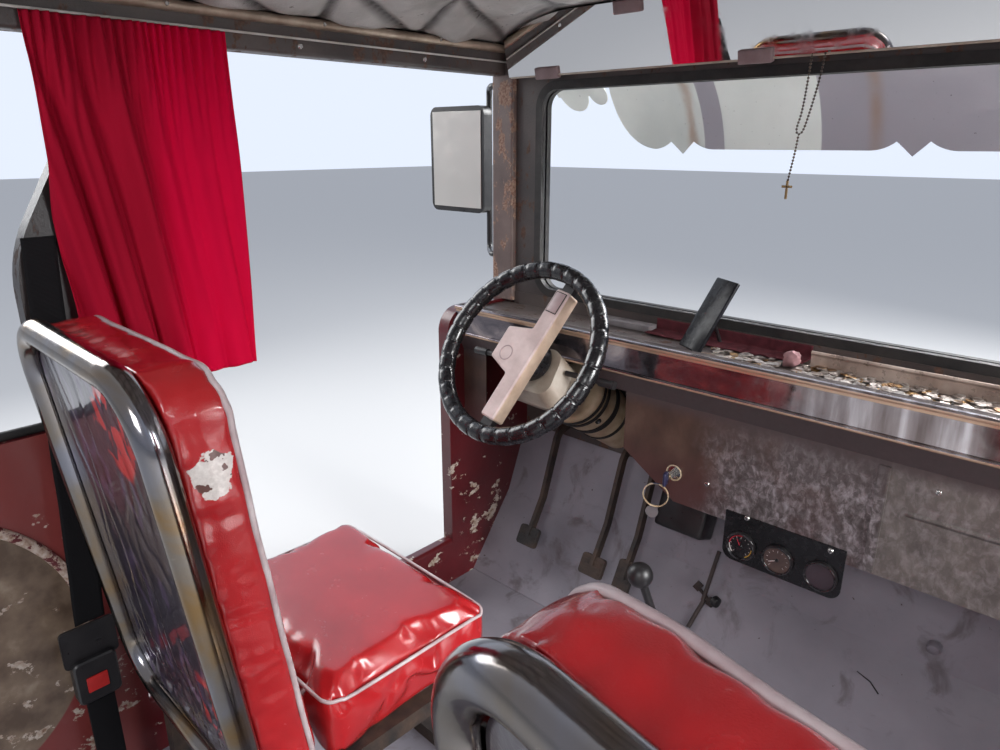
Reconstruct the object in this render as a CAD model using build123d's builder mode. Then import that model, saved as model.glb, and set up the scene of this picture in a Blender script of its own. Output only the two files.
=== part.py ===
from build123d import *
from math import asin, atan2, cos, degrees, radians, sin, sqrt
import os

# Driver's cab of a jeepney, in millimetres. +X is the vehicle's right, +Y forward, +Z up.
# The origin is the centre of the four body bolts, on the underside of the floor frame.

# Cab shell
inner_half = 800.0  # centreline to the inner skin of the side walls
side_wall = 35.0  # outer skin to inner skin
sheet = 3.0  # single steel sheet
rear_y = -700.0  # where the passenger body begins
frame_height = 57.0
frame_front_y = 660.0
rail_x = 430.0  # centreline to the middle of a floor rail
rail_flange = 80.0
channel_wall = 5.0
cross_width = 60.0
bolt_spacing_y = 960.0
bolt_hole_r = 7.0
floor_front_y = 450.0
toe_bend_y, toe_bend_z = 603.0, 260.0  # the toe board turns steeper here
toe_top_z = 450.0
firewall_y = 680.0
cowl_z = 840.0  # top of the cowl, under the windscreen
cowl_front_y = 700.0
door_rear_y = -454.0
door_front_y = 370.0
door_sill_z = 190.0
window_sill_z = 783.0
door_corner = 60.0
outer_half = inner_half + side_wall
floor_z = frame_height + sheet

# Roof
roof_crown_z = 1572.0
rail_drop = 177.0  # from the roof's top to the lower edge of rails and header
rail_low_z = roof_crown_z - rail_drop
flat_half = inner_half - 240.0  # the roof is flat to here, then rounds down
shoulder_r = 393.0
roof_sheet = 3.0
roof_front_y = 700.0
drip = 28.0  # gutter flange outside the side rails
rail_width = 45.0
liner_gap = 47.0  # from the roof's top to the ceiling's face
liner_z = roof_crown_z - liner_gap
liner_shoulder_r = 508.0
liner_thick = 8.0
bow_depth = 30.0
header_y = 570.0  # rear face of the front header
header_depth = 70.0

# Windscreen: the daylight opening, and the bars and rubber round it
screen_y = 600.0
screen_half = inner_half - 120.0
screen_low_z = 883.0
top_bar = 38.0  # between the opening and the header
screen_high_z = rail_low_z - top_bar
screen_corner = 40.0
seal_width = 20.0
seal_stand = 3.0  # the rubber stands this far out of the bars
seal_bite = 8.0  # glass held inside the rubber
glass_thick = 6.0
bar_depth = 30.0
pillar_width = 70.0
pillar_depth = 60.0

# Dash
dash_y = 400.0  # face of the polished band
band_low_z = 775.0
band_high_z = 850.0
bead_r = 5.0
lip_z = 731.0
panel_y = 425.0  # face of the galvanised panel
panel_low_z = 515.0
tray_z = 832.0
notch_x0 = 80.0 - inner_half  # leg opening in the driver's panel: its outer end,
notch_x1 = notch_x0 + 420.0  # its inner end below the band,
notch_x2 = notch_x1 + 135.0  # and its inner end at the panel's lower edge
notch_knee_z = 600.0
arch_half = 92.0  # the notch rises to the band here, over the column
seam_x = 218.0
seam_width = 18.0
gauge_r = 26.0
gauge_z = 475.0
gauge_depth = 46.0
switch_x, switch_z = -170.0, 583.0
switch_r = 11.0

# Steering
wheel_in = 303.0  # from the driver's side wall
wheel_x = wheel_in - inner_half
wheel_y, wheel_z = 296.0, 811.0
wheel_lean = 35.4  # the rim's plane leans forward from upright by this angle
wheel_turn = 79.0  # parked turned to the left by this angle
rim_r = 195.0
rim_tube_r = 17.0
hub_r = 32.0
shaft_r = 10.0
shaft_play = 0.05
column_r = 20.0
column_start = 68.0  # along the axis, from the rim's centre
column_end = 520.0
shroud_wall = 3.0

# Gear lever and pedals
lever_x, lever_y = -70.0, 330.0
lever_r = 8.0
boot_r = 62.0
boot_flange_r = 78.0
boot_flange = 8.0
boot_height = 84.0
knob_r = 24.0
knob_x, knob_y, knob_z = -100.0, 192.0, 478.0
pedal_table = (  # x from the steering column, pad width, pad height
    (-113.0, 62.0, 52.0),
    (97.0, 66.0, 52.0),
    (187.0, 44.0, 96.0),
)
pedal_root_z = 520.0
pedal_pad_y, pedal_pad_z = 470.0, 235.0
pedal_pad_tilt = 60.0  # degrees from level
pedal_arm_width = 22.0
pedal_arm_thick = 10.0
pedal_pad_thick = 12.0
pedal_foot = 4.0  # an arm's middle line stops this far inside what it joins
pedal_reach, pedal_drop = 90.0, 20.0  # from the firewall back to the arm's first bend
pedal_knee, pedal_sag = 60.0, 50.0  # from the pad forward to the second bend, and below half height
pedal_bend_r = 40.0

# Seats: each has its own frame, with its origin on the floor plane under the loop's lower run
driver_in, driver_y = 300.0, -482.0  # in from the side wall, and along the cab
passenger_in, passenger_y = 327.0, -561.0
seat_table = (  # name, x, y, degrees turned to the right
    ("driver", driver_in - inner_half, driver_y, 1.3),
    ("passenger", inner_half - passenger_in, passenger_y, 10.0),
)
tube_r = 19.0
loop_width = 443.0  # between the tube's centre lines
loop_low_z, loop_high_z = 330.0, 986.0
loop_corner = 85.0
loop_lean = radians(6.6)
seat_frame_z = 330.0
seat_bar = 30.0
seat_length = 452.0
pad_width = 500.0
pad_thick = 78.0
pad_corner = 75.0
pad_crown = 36.0  # the back pad's top stands this far over its front edge
cushion_thick = 120.0
cushion_round = 30.0
board_thick = 6.0
rest = 0.3  # soft and curved pieces lie this far from what carries them

os.makedirs("parts", exist_ok=True)

# Floor frame: two channels, cross members and the body bolt holes
with BuildPart() as floor_frame:
    with BuildSketch(Plane.XZ.offset(-frame_front_y)):
        with Locations((rail_x, frame_height / 2)):
            Rectangle(rail_flange, frame_height)
        with Locations((rail_x - channel_wall, frame_height / 2)):
            Rectangle(rail_flange, frame_height - 2 * channel_wall, mode=Mode.SUBTRACT)
        mirror(about=Plane.YZ)
    extrude(amount=frame_front_y - rear_y)
    for cross_y in (rear_y + cross_width / 2, -240.0, 200.0, frame_front_y - cross_width / 2):
        with BuildSketch(Plane.YZ):
            with Locations((cross_y, frame_height / 2)):
                Rectangle(cross_width, frame_height)
            with Locations((cross_y, frame_height / 2 - channel_wall)):
                Rectangle(cross_width - 2 * channel_wall, frame_height, mode=Mode.SUBTRACT)
        extrude(amount=outer_half, both=True)
    with BuildSketch(Plane.XY):
        with GridLocations(2 * rail_x, bolt_spacing_y, 2, 2):
            Circle(bolt_hole_r)
    extrude(amount=frame_height, mode=Mode.SUBTRACT)
floor_frame.part.label = "floor_frame"
export_step(floor_frame.part, "parts/floor_frame.step")

# Floor sheet, with the gear lever's hole
with BuildPart() as floor_panel:
    with BuildSketch(Plane.XY.offset(frame_height)):
        with Locations((0, (rear_y + floor_front_y) / 2)):
            Rectangle(2 * inner_half, floor_front_y - rear_y)
        with Locations((lever_x, lever_y)):
            Circle(boot_r - 20, mode=Mode.SUBTRACT)
    extrude(amount=sheet)
floor_panel.part.label = "floor_panel"
export_step(floor_panel.part, "parts/floor_panel.step")

# Sloping toe board, bent steeper towards the firewall, and trimmed where it meets the floor
toe_slope = (toe_bend_z - floor_z) / (toe_bend_y - floor_front_y)
toe_rise = (toe_top_z - toe_bend_z) / (firewall_y - toe_bend_y)
toe_lap = 20.0  # drawn this far past both ends, then trimmed
with BuildPart() as toe_board:
    with BuildSketch(Plane.YZ):
        with BuildLine():
            Polyline(
                (floor_front_y - toe_lap, floor_z - toe_lap * toe_slope),
                (toe_bend_y, toe_bend_z),
                (firewall_y + toe_lap, toe_top_z + toe_lap * toe_rise),
            )
        trace(line_width=sheet)
        with Locations((floor_front_y, frame_height)):
            Rectangle(
                firewall_y,
                toe_top_z - frame_height,
                align=(Align.MIN, Align.MIN),
                mode=Mode.INTERSECT,
            )
    extrude(amount=inner_half, both=True)
toe_board.part.label = "toe_board"
export_step(toe_board.part, "parts/toe_board.step")

# The wheel's plane: its Z is the steering axis, towards the driver, and its Y is up the rim
straight_plane = Plane(
    origin=(wheel_x, wheel_y, wheel_z),
    x_dir=(1, 0, 0),
    z_dir=(0, -cos(radians(wheel_lean)), sin(radians(wheel_lean))),
)
wheel_plane = Plane(
    origin=straight_plane.origin,
    x_dir=straight_plane.x_dir * cos(radians(wheel_turn)) + straight_plane.y_dir * sin(radians(wheel_turn)),
    z_dir=straight_plane.z_dir,
)

# Firewall, with the steering column's hole
with BuildPart() as firewall:
    with BuildSketch(Plane.XZ.offset(-firewall_y - sheet)):
        with Locations((0, (toe_top_z + cowl_z - 2 * sheet) / 2)):
            Rectangle(2 * inner_half, cowl_z - 2 * sheet - toe_top_z)
    extrude(amount=sheet)
    with BuildSketch(straight_plane.offset(-column_start)):
        Circle(column_r + rest)
    extrude(amount=-(column_end - column_start), mode=Mode.SUBTRACT)
firewall.part.label = "firewall"
export_step(firewall.part, "parts/firewall.step")

# Cowl top, between the windscreen's lower bar and the firewall
cowl_rear_y = screen_y - bar_depth / 2
with BuildPart() as cowl_top:
    with BuildSketch(Plane.YZ):
        with Locations(((cowl_rear_y + cowl_front_y) / 2, cowl_z - sheet)):
            Rectangle(cowl_front_y - cowl_rear_y, 2 * sheet)
    extrude(amount=inner_half, both=True)
cowl_top.part.label = "cowl_top"
export_step(cowl_top.part, "parts/cowl_top.step")

# Side walls ahead of the doors, from the sill to the cowl
with BuildPart() as cowl_sides:
    with BuildSketch(Plane.YZ.offset(inner_half)):
        with BuildLine():
            Polyline(
                (door_front_y, frame_height),
                (door_front_y, cowl_z),
                (cowl_front_y, cowl_z),
                (cowl_front_y, frame_height),
                close=True,
            )
        make_face()
        fillet(vertices().group_by(Axis.Y)[-1].sort_by(Axis.X)[0], radius=door_corner)
    extrude(amount=side_wall)
    mirror(about=Plane.YZ)
cowl_sides.part.label = "cowl_sides"
export_step(cowl_sides.part, "parts/cowl_sides.step")

# Side walls behind the doors, up to the window sill
with BuildPart() as side_panels:
    with BuildSketch(Plane.YZ.offset(inner_half)):
        with Locations(((rear_y + door_rear_y) / 2, (frame_height + window_sill_z) / 2)):
            Rectangle(door_rear_y - rear_y, window_sill_z - frame_height)
    extrude(amount=side_wall)
    mirror(about=Plane.YZ)
side_panels.part.label = "side_panels"
export_step(side_panels.part, "parts/side_panels.step")

# Low sills across the door openings, with a rounded tread edge
with BuildPart() as door_sills:
    with BuildSketch(Plane.XZ.offset(-door_front_y)):
        with Locations((inner_half + side_wall / 2, (frame_height + door_sill_z) / 2)):
            Rectangle(side_wall, door_sill_z - frame_height)
        fillet(vertices().group_by(Axis.Y)[-1], radius=10)
    extrude(amount=door_front_y - door_rear_y)
    mirror(about=Plane.YZ)
door_sills.part.label = "door_sills"
export_step(door_sills.part, "parts/door_sills.step")

# Front pillars, beside the windscreen
with BuildPart() as front_pillars:
    with BuildSketch(Plane.XY.offset(cowl_z)):
        with Locations((outer_half - pillar_width / 2, screen_y)):
            RectangleRounded(pillar_width, pillar_depth, 6)
    extrude(amount=rail_low_z - cowl_z)
    mirror(about=Plane.YZ)
front_pillars.part.label = "front_pillars"
export_step(front_pillars.part, "parts/front_pillars.step")

# Rear door posts: upright at the sill, then bent forward up to the roof rail
post_width = 75.0
post_foot_y = -492.0
post_bend_drop = 335.0  # the bend is this far below the rails
post_bend_z = rail_low_z - post_bend_drop
post_head_y = -300.0
post_bend_r = 200.0
post_lean = (post_head_y - post_foot_y) / (rail_low_z - post_bend_z)
with BuildPart() as rear_posts:
    with BuildSketch(Plane.YZ.offset(inner_half)):
        with BuildLine() as post_line:
            FilletPolyline(
                (post_foot_y, window_sill_z - post_width),
                (post_foot_y, post_bend_z),
                (post_head_y + post_lean * post_width, rail_low_z + post_width),
                radius=post_bend_r,
            )
        trace(line_width=post_width)
        with Locations((post_foot_y, (window_sill_z + rail_low_z) / 2)):
            Rectangle(2 * post_width - 2 * post_foot_y, rail_low_z - window_sill_z, mode=Mode.INTERSECT)
    extrude(amount=side_wall)
    mirror(about=Plane.YZ)
rear_posts.part.label = "rear_posts"
export_step(rear_posts.part, "parts/rear_posts.step")

# Windscreen bars: a painted ring between the pillars
bars_half = outer_half - pillar_width
with BuildPart() as windscreen_bars:
    with BuildSketch(Plane.XZ.offset(-screen_y - bar_depth / 2)):
        with Locations((0, (cowl_z + rail_low_z) / 2)):
            Rectangle(2 * bars_half, rail_low_z - cowl_z)
        with Locations((0, (screen_low_z + screen_high_z) / 2)):
            RectangleRounded(
                2 * (screen_half + seal_width),
                screen_high_z - screen_low_z + 2 * seal_width,
                screen_corner + seal_width,
                mode=Mode.SUBTRACT,
            )
    extrude(amount=bar_depth)
windscreen_bars.part.label = "windscreen_bars"
export_step(windscreen_bars.part, "parts/windscreen_bars.step")

# Rubber seal round the glass, with a slot that holds the glass's edge
seal_depth = bar_depth + 2 * seal_stand
screen_mid_z = (screen_low_z + screen_high_z) / 2
screen_height = screen_high_z - screen_low_z
with BuildPart() as windscreen_seal:
    with BuildSketch(Plane.XZ.offset(-screen_y - seal_depth / 2)):
        with Locations((0, screen_mid_z)):
            RectangleRounded(
                2 * (screen_half + seal_width - rest),
                screen_height + 2 * (seal_width - rest),
                screen_corner + seal_width - rest,
            )
            RectangleRounded(2 * screen_half, screen_height, screen_corner, mode=Mode.SUBTRACT)
    extrude(amount=seal_depth)
    with BuildSketch(Plane.XZ.offset(-screen_y - glass_thick / 2)):
        with Locations((0, screen_mid_z)):
            RectangleRounded(
                2 * (screen_half + seal_bite + rest),
                screen_height + 2 * (seal_bite + rest),
                screen_corner + seal_bite + rest,
            )
    extrude(amount=glass_thick, mode=Mode.SUBTRACT)
windscreen_seal.part.label = "windscreen_seal"
export_step(windscreen_seal.part, "parts/windscreen_seal.step")

# Windscreen glass
with BuildPart() as windscreen_glass:
    with BuildSketch(Plane.XZ.offset(-screen_y - glass_thick / 2)):
        with Locations((0, screen_mid_z)):
            RectangleRounded(
                2 * (screen_half + seal_bite),
                screen_height + 2 * seal_bite,
                screen_corner + seal_bite,
            )
    extrude(amount=glass_thick)
windscreen_glass.part.label = "windscreen_glass"
export_step(windscreen_glass.part, "parts/windscreen_glass.step")


def shoulder_drop(radius, x):
    """How far a rounded roof line has fallen at x from the centreline."""
    return radius - sqrt(radius**2 - (x - flat_half) ** 2)


def roof_line(radius, top_z, end_x):
    """Right half of a roof section: flat, then one arc down to end_x."""
    angle = degrees(asin((end_x - flat_half) / radius))
    Line((0, top_z), (flat_half, top_z))
    CenterArc((flat_half, top_z - radius), radius, 90, -angle)


# Roof section heights that more than one piece shares
skin_under_z = roof_crown_z - roof_sheet
skin_under_r = shoulder_r - roof_sheet
skin_edge_z = skin_under_z - shoulder_drop(skin_under_r, outer_half)
skin_rim_x = outer_half + roof_sheet
skin_rim_z = roof_crown_z - shoulder_drop(shoulder_r, skin_rim_x)
rail_high_z = skin_edge_z - rest
rail_inner_x = outer_half - rail_width
liner_top_z = liner_z + liner_thick
liner_top_r = liner_shoulder_r + liner_thick
liner_edge_z = liner_z - shoulder_drop(liner_shoulder_r, rail_inner_x)
liner_edge_top_z = liner_top_z - shoulder_drop(liner_top_r, rail_inner_x)

# Side rails of the roof
with BuildPart() as roof_rails:
    with BuildSketch(Plane.XZ.offset(-roof_front_y)):
        with Locations((outer_half - rail_width / 2, (rail_low_z + rail_high_z) / 2)):
            Rectangle(rail_width, rail_high_z - rail_low_z)
        fillet(vertices().group_by(Axis.Y)[0], radius=8)
    extrude(amount=roof_front_y - rear_y)
    mirror(about=Plane.YZ)
roof_rails.part.label = "roof_rails"
export_step(roof_rails.part, "parts/roof_rails.step")

# Outer roof sheet, with a gutter flange along each side
with BuildPart() as roof_skin:
    with BuildSketch(Plane.XZ.offset(-roof_front_y)):
        with BuildLine():
            roof_line(shoulder_r, roof_crown_z, skin_rim_x)
            roof_line(skin_under_r, skin_under_z, outer_half)
            Polyline(
                (skin_rim_x, skin_rim_z),
                (skin_rim_x, skin_edge_z - drip),
                (outer_half, skin_edge_z - drip),
                (outer_half, skin_edge_z),
            )
            Line((0, skin_under_z), (0, roof_crown_z))
        make_face()
        mirror(about=Plane.YZ)
    extrude(amount=roof_front_y - rear_y)
roof_skin.part.label = "roof_skin"
export_step(roof_skin.part, "parts/roof_skin.step")

# Roof bows between the skin and the liner, at the rear edge and along the roof
with BuildPart() as roof_bows:
    for bow_y in (rear_y + bow_depth, -260.0, 180.0):
        with BuildSketch(Plane.XZ.offset(-bow_y)):
            with BuildLine():
                roof_line(skin_under_r, skin_under_z, outer_half)
                roof_line(liner_top_r, liner_top_z, rail_inner_x)
                Polyline(
                    (outer_half, skin_edge_z),
                    (outer_half, rail_high_z),
                    (rail_inner_x, rail_high_z),
                    (rail_inner_x, liner_edge_top_z),
                )
                Line((0, skin_under_z), (0, liner_top_z))
            make_face()
            mirror(about=Plane.YZ)
        extrude(amount=bow_depth)
roof_bows.part.label = "roof_bows"
export_step(roof_bows.part, "parts/roof_bows.step")

# Ceiling liner
with BuildPart() as roof_liner:
    with BuildSketch(Plane.XZ.offset(-header_y)):
        with BuildLine():
            roof_line(liner_top_r, liner_top_z, rail_inner_x)
            roof_line(liner_shoulder_r, liner_z, rail_inner_x)
            Line((rail_inner_x, liner_edge_z), (rail_inner_x, liner_edge_top_z))
            Line((0, liner_z), (0, liner_top_z))
        make_face()
        mirror(about=Plane.YZ)
    extrude(amount=header_y - rear_y)
roof_liner.part.label = "roof_liner"
export_step(roof_liner.part, "parts/roof_liner.step")

# Front header: closes the roof over the windscreen bars
with BuildPart() as roof_header:
    with BuildSketch(Plane.XZ.offset(-header_y - header_depth)):
        with BuildLine():
            roof_line(skin_under_r, skin_under_z, outer_half)
            Polyline(
                (outer_half, skin_edge_z),
                (outer_half, rail_high_z),
                (rail_inner_x, rail_high_z),
                (rail_inner_x, rail_low_z),
                (0, rail_low_z),
                (0, skin_under_z),
            )
        make_face()
        mirror(about=Plane.YZ)
    extrude(amount=header_depth)
roof_header.part.label = "roof_header"
export_step(roof_header.part, "parts/roof_header.step")

# Long mirror across the header, tipped down, and cut to the ceiling's line
mirror_half = rail_inner_x - 19.0
mirror_hang = 5.0  # below the header's lower edge
mirror_low_z = rail_low_z - mirror_hang
mirror_thick = 6.0
mirror_tip = 14.0  # degrees that the glass looks down
mirror_gap = 6.0  # below the ceiling
bracket_rise = 90.0  # wedge brackets hold the mirror's back off the header
bracket_half = 12.0
mirror_plane = Plane(
    origin=(0, header_y, mirror_low_z),
    x_dir=(1, 0, 0),
    z_dir=(0, -cos(radians(mirror_tip)), -sin(radians(mirror_tip))),
)
mirror_high_z = liner_z - mirror_gap - mirror_low_z  # heights from here on are above the lower edge
mirror_edge_z = mirror_high_z - shoulder_drop(liner_shoulder_r, mirror_half)
with BuildPart() as header_mirror:
    with BuildSketch(mirror_plane):
        with BuildLine():
            roof_line(liner_shoulder_r, mirror_high_z, mirror_half)
            Polyline(
                (mirror_half, mirror_edge_z),
                (mirror_half, 0),
                (0, 0),
                (0, mirror_high_z),
            )
        make_face()
        mirror(about=Plane.YZ)
    extrude(amount=mirror_thick)
    bracket_out = bracket_rise * sin(radians(mirror_tip))
    bracket_up = bracket_rise * cos(radians(mirror_tip))
    for bracket_x in (-0.6 * mirror_half, 0, 0.6 * mirror_half):
        with BuildSketch(Plane.YZ.offset(bracket_x)):
            with BuildLine():
                Polyline(
                    (header_y, mirror_low_z),
                    (header_y, mirror_low_z + bracket_rise),
                    (header_y - bracket_out, mirror_low_z + bracket_up),
                    close=True,
                )
            make_face()
        extrude(amount=bracket_half, both=True)
header_mirror.part.label = "header_mirror"
export_step(header_mirror.part, "parts/header_mirror.step")

# Sun visor outside the windscreen: a bent sheet between two short wings, with shaped lower edges
visor_half = inner_half - 12.0
visor_sheet = 2.0
visor_lift = 45.0  # fixing line above the header's lower edge
visor_root_z = rail_low_z + visor_lift
visor_flange = 36.0
visor_drop = 228.0  # from the fixing line to the points
visor_bulge_drop = 72.0
visor_point = 11.0  # the points hang this far below the straight runs
visor_tip_y, visor_tip_z = 850.0, visor_root_z - visor_drop
visor_bulge_y, visor_bulge_z = 765.0, visor_root_z - visor_bulge_drop
visor_edge_z = visor_tip_z + visor_point
visor_corner = 110.0
visor_gap = 12.0  # between the middle sheet and a wing
visor_points = (-446.0, 70.0, 446.0)  # x of the points in the lower edge
point_half = 31.0  # from a point to the notch beside it
notch_rise = 18.0
notch_run = 80.0  # from a point to where the edge is straight again
wing_root = visor_half - 165.0  # the middle sheet ends here
wing_drop = 88.0
wing_low_z = visor_root_z - wing_drop
wing_lobes = ((0.34, 46.0), (0.84, 28.0))  # place along the wing from its outer end, radius
header_front_y = header_y + header_depth
visor_face_y = header_front_y + visor_sheet / 2
notch_z = visor_edge_z + notch_rise
wing_width = visor_half - wing_root - visor_gap
wing_top_z = visor_root_z + visor_flange
with BuildPart() as front_visor:
    with BuildSketch(Plane.YZ.offset(-visor_half)):
        with BuildLine():
            Line((visor_face_y, visor_root_z - visor_flange), (visor_face_y, visor_root_z))
            ThreePointArc(
                (visor_face_y, visor_root_z),
                (visor_bulge_y, visor_bulge_z),
                (visor_tip_y, visor_tip_z),
            )
        trace(line_width=visor_sheet)
    extrude(amount=2 * visor_half)
    with BuildSketch(Plane.XZ.offset(-visor_tip_y - visor_corner)):
        with Locations((0, (visor_edge_z + visor_root_z) / 2)):
            RectangleRounded(2 * wing_root, visor_root_z - visor_edge_z, visor_corner - 2)
        with Locations((0, visor_root_z)):
            Rectangle(2 * wing_root, visor_root_z - wing_low_z)
        for point_x in visor_points:
            for side in (-1, 1):
                tip = (point_x, visor_tip_z)
                notch_top = (point_x + side * point_half, notch_z)
                notch_end = (point_x + side * notch_run, visor_edge_z)
                notch_mid = (point_x + side * (point_half + notch_run) / 2, visor_edge_z + notch_rise / 4)
                with BuildLine():
                    Polyline((point_x, notch_z), tip, notch_top, close=True)
                make_face()
                with BuildLine():
                    Line(tip, notch_top)
                    ThreePointArc(notch_top, notch_mid, notch_end)
                    Line(notch_end, tip)
                make_face(mode=Mode.SUBTRACT)
        for side in (-1, 1):
            with Locations((side * (visor_half - wing_width / 2), (wing_low_z + wing_top_z) / 2)):
                Rectangle(wing_width, wing_top_z - wing_low_z)
            for along, lobe_r in wing_lobes:
                with Locations((side * (visor_half - wing_width * along), wing_low_z + lobe_r / 4)):
                    Circle(lobe_r)
    extrude(amount=visor_tip_y + visor_corner, mode=Mode.INTERSECT)
front_visor.part.label = "front_visor"
export_step(front_visor.part, "parts/front_visor.step")

# Dash band: polished face with a round bead along its upper and lower edges
with BuildPart() as dash_band:
    with BuildSketch(Plane.YZ):
        with Locations((dash_y + sheet / 2, (band_low_z + band_high_z) / 2)):
            Rectangle(sheet, band_high_z - band_low_z)
        with Locations((dash_y + 12, band_high_z - sheet / 2)):
            Rectangle(24, sheet)
        for bead_z in (band_low_z + bead_r, band_high_z - bead_r):
            with Locations((dash_y, bead_z)):
                Circle(bead_r)
        with Locations((dash_y + sheet + bead_r, (band_low_z + band_high_z) / 2 - sheet)):
            Rectangle(2 * bead_r, band_high_z - band_low_z, mode=Mode.SUBTRACT)
    extrude(amount=inner_half, both=True)
dash_band.part.label = "dash_band"
export_step(dash_band.part, "parts/dash_band.step")

# Dash panel: one sheet behind the band, stepped back at the lip, with the switch's hole
panel_mid_y = panel_y + sheet / 2
with BuildPart() as dash_panel:
    with BuildSketch(Plane.YZ):
        with BuildLine():
            Polyline(
                (dash_y + sheet * 1.5, band_high_z - 2 * sheet - bead_r),
                (dash_y + sheet * 1.5, band_low_z),
                (panel_mid_y, lip_z),
                (panel_mid_y, panel_low_z),
            )
        trace(line_width=sheet)
    extrude(amount=inner_half, both=True)
    with BuildSketch(Plane.XZ.offset(-dash_y)):
        with Locations((switch_x, switch_z)):
            Circle(switch_r + rest)
        with BuildLine():
            Polyline(
                (notch_x0, panel_low_z - sheet),
                (notch_x0, lip_z),
                (notch_x1, lip_z),
                (notch_x1, notch_knee_z),
                (notch_x2, panel_low_z - sheet),
                close=True,
            )
        make_face()
        with Locations((wheel_x, (panel_low_z + band_low_z) / 2)):
            Rectangle(2 * arch_half, band_low_z - panel_low_z)
    extrude(amount=-(panel_y - dash_y) - 2 * sheet, mode=Mode.SUBTRACT)
dash_panel.part.label = "dash_panel"
export_step(dash_panel.part, "parts/dash_panel.step")

# Strip over the joint of the panel's two sheets
with BuildPart() as panel_seam:
    with BuildSketch(Plane.XZ.offset(-panel_y)):
        with Locations((seam_x, (lip_z + panel_low_z) / 2 - 4)):
            Rectangle(seam_width, lip_z - panel_low_z - 12)
    extrude(amount=sheet)
panel_seam.part.label = "panel_seam"
export_step(panel_seam.part, "parts/panel_seam.step")

# Tray behind the band, turned up against the cowl
tray_front_y = dash_y + 2 * sheet
with BuildPart() as dash_tray:
    with BuildSketch(Plane.YZ):
        with Locations(((tray_front_y + cowl_rear_y) / 2, tray_z - sheet / 2)):
            Rectangle(cowl_rear_y - tray_front_y, sheet)
    extrude(amount=inner_half, both=True)
    with BuildSketch(Plane.YZ):
        with Locations((cowl_rear_y - sheet / 2, (tray_z + screen_low_z - seal_width) / 2)):
            Rectangle(sheet, screen_low_z - seal_width - tray_z)
    extrude(amount=outer_half - pillar_width, both=True)
dash_tray.part.label = "dash_tray"
export_step(dash_tray.part, "parts/dash_tray.step")

# Polished guard along the right part of the tray
guard_x0, guard_x1 = 35.0, inner_half - 30.0
guard_y = 535.0
guard_height = 28.0
with BuildPart() as tray_guard:
    with BuildSketch(Plane.YZ.offset(guard_x0)):
        with Locations((guard_y, tray_z + guard_height / 2)):
            Rectangle(sheet, guard_height)
        with Locations((guard_y + 14, tray_z + sheet / 2)):
            Rectangle(28, sheet)
        with Locations((guard_y, tray_z + guard_height)):
            Circle(4)
    extrude(amount=guard_x1 - guard_x0)
tray_guard.part.label = "tray_guard"
export_step(tray_guard.part, "parts/tray_guard.step")

# Gauge bracket below the panel, and three round gauges in its holes
gauge_places = (-11.0, 63.0, 144.0)  # x of each gauge's centre
bracket_x0, bracket_x1 = gauge_places[0] - 39.0, gauge_places[-1] + 37.0
bracket_low_z = gauge_z - 39.0
bracket_high_z = panel_low_z + gauge_r  # it laps the panel's lower edge, where it is screwed
bezel_rim = 4.0
bezel_depth = 7.0
with BuildPart() as gauge_bracket:
    with BuildSketch(Plane.XZ.offset(-panel_y)):
        with BuildLine():
            Polyline(
                (bracket_x0, bracket_high_z),
                (bracket_x1, bracket_high_z),
                (bracket_x1, bracket_low_z),
                (bracket_x0, bracket_low_z),
                close=True,
            )
        make_face()
        fillet(vertices().group_by(Axis.Y)[0], radius=22)
        for gauge_x in gauge_places:
            with Locations((gauge_x, gauge_z)):
                Circle(gauge_r + rest, mode=Mode.SUBTRACT)
    extrude(amount=sheet)
gauge_bracket.part.label = "gauge_bracket"
export_step(gauge_bracket.part, "parts/gauge_bracket.step")

bezel_y = panel_y - sheet
with BuildPart() as gauges:
    for gauge_x in gauge_places:
        with BuildSketch(Plane.XZ.offset(-bezel_y)):
            with Locations((gauge_x, gauge_z)):
                Circle(gauge_r)
        extrude(amount=-gauge_depth)
        with BuildSketch(Plane.XZ.offset(-bezel_y)):
            with Locations((gauge_x, gauge_z)):
                Circle(gauge_r + bezel_rim)
        extrude(amount=bezel_depth)
        with BuildSketch(Plane.XZ.offset(-bezel_y + bezel_depth)):
            with Locations((gauge_x, gauge_z)):
                Circle(gauge_r)
        extrude(amount=-3, mode=Mode.SUBTRACT)
gauges.part.label = "gauges"
export_step(gauges.part, "parts/gauges.step")

# Ignition switch with its key
with BuildPart() as ignition_switch:
    with BuildSketch(Plane.XZ.offset(-panel_y + 2)):
        with Locations((switch_x, switch_z)):
            Circle(switch_r)
    extrude(amount=-40)
    with BuildSketch(Plane.XZ.offset(-panel_y)):
        with Locations((switch_x, switch_z)):
            Circle(switch_r + 5)
    extrude(amount=5)
    with BuildSketch(Plane.XZ.offset(-panel_y + 5)):
        with Locations((switch_x, switch_z)):
            Rectangle(2.5, 20)
    extrude(amount=24)
ignition_switch.part.label = "ignition_switch"
export_step(ignition_switch.part, "parts/ignition_switch.step")

# Steering column, with a bore for the wheel's shaft
with BuildPart() as steering_column:
    with BuildSketch(straight_plane.offset(-column_end)):
        Circle(column_r)
        Circle(shaft_r + shaft_play, mode=Mode.SUBTRACT)
    extrude(amount=column_end - column_start)
steering_column.part.label = "steering_column"
export_step(steering_column.part, "parts/steering_column.step")

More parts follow.
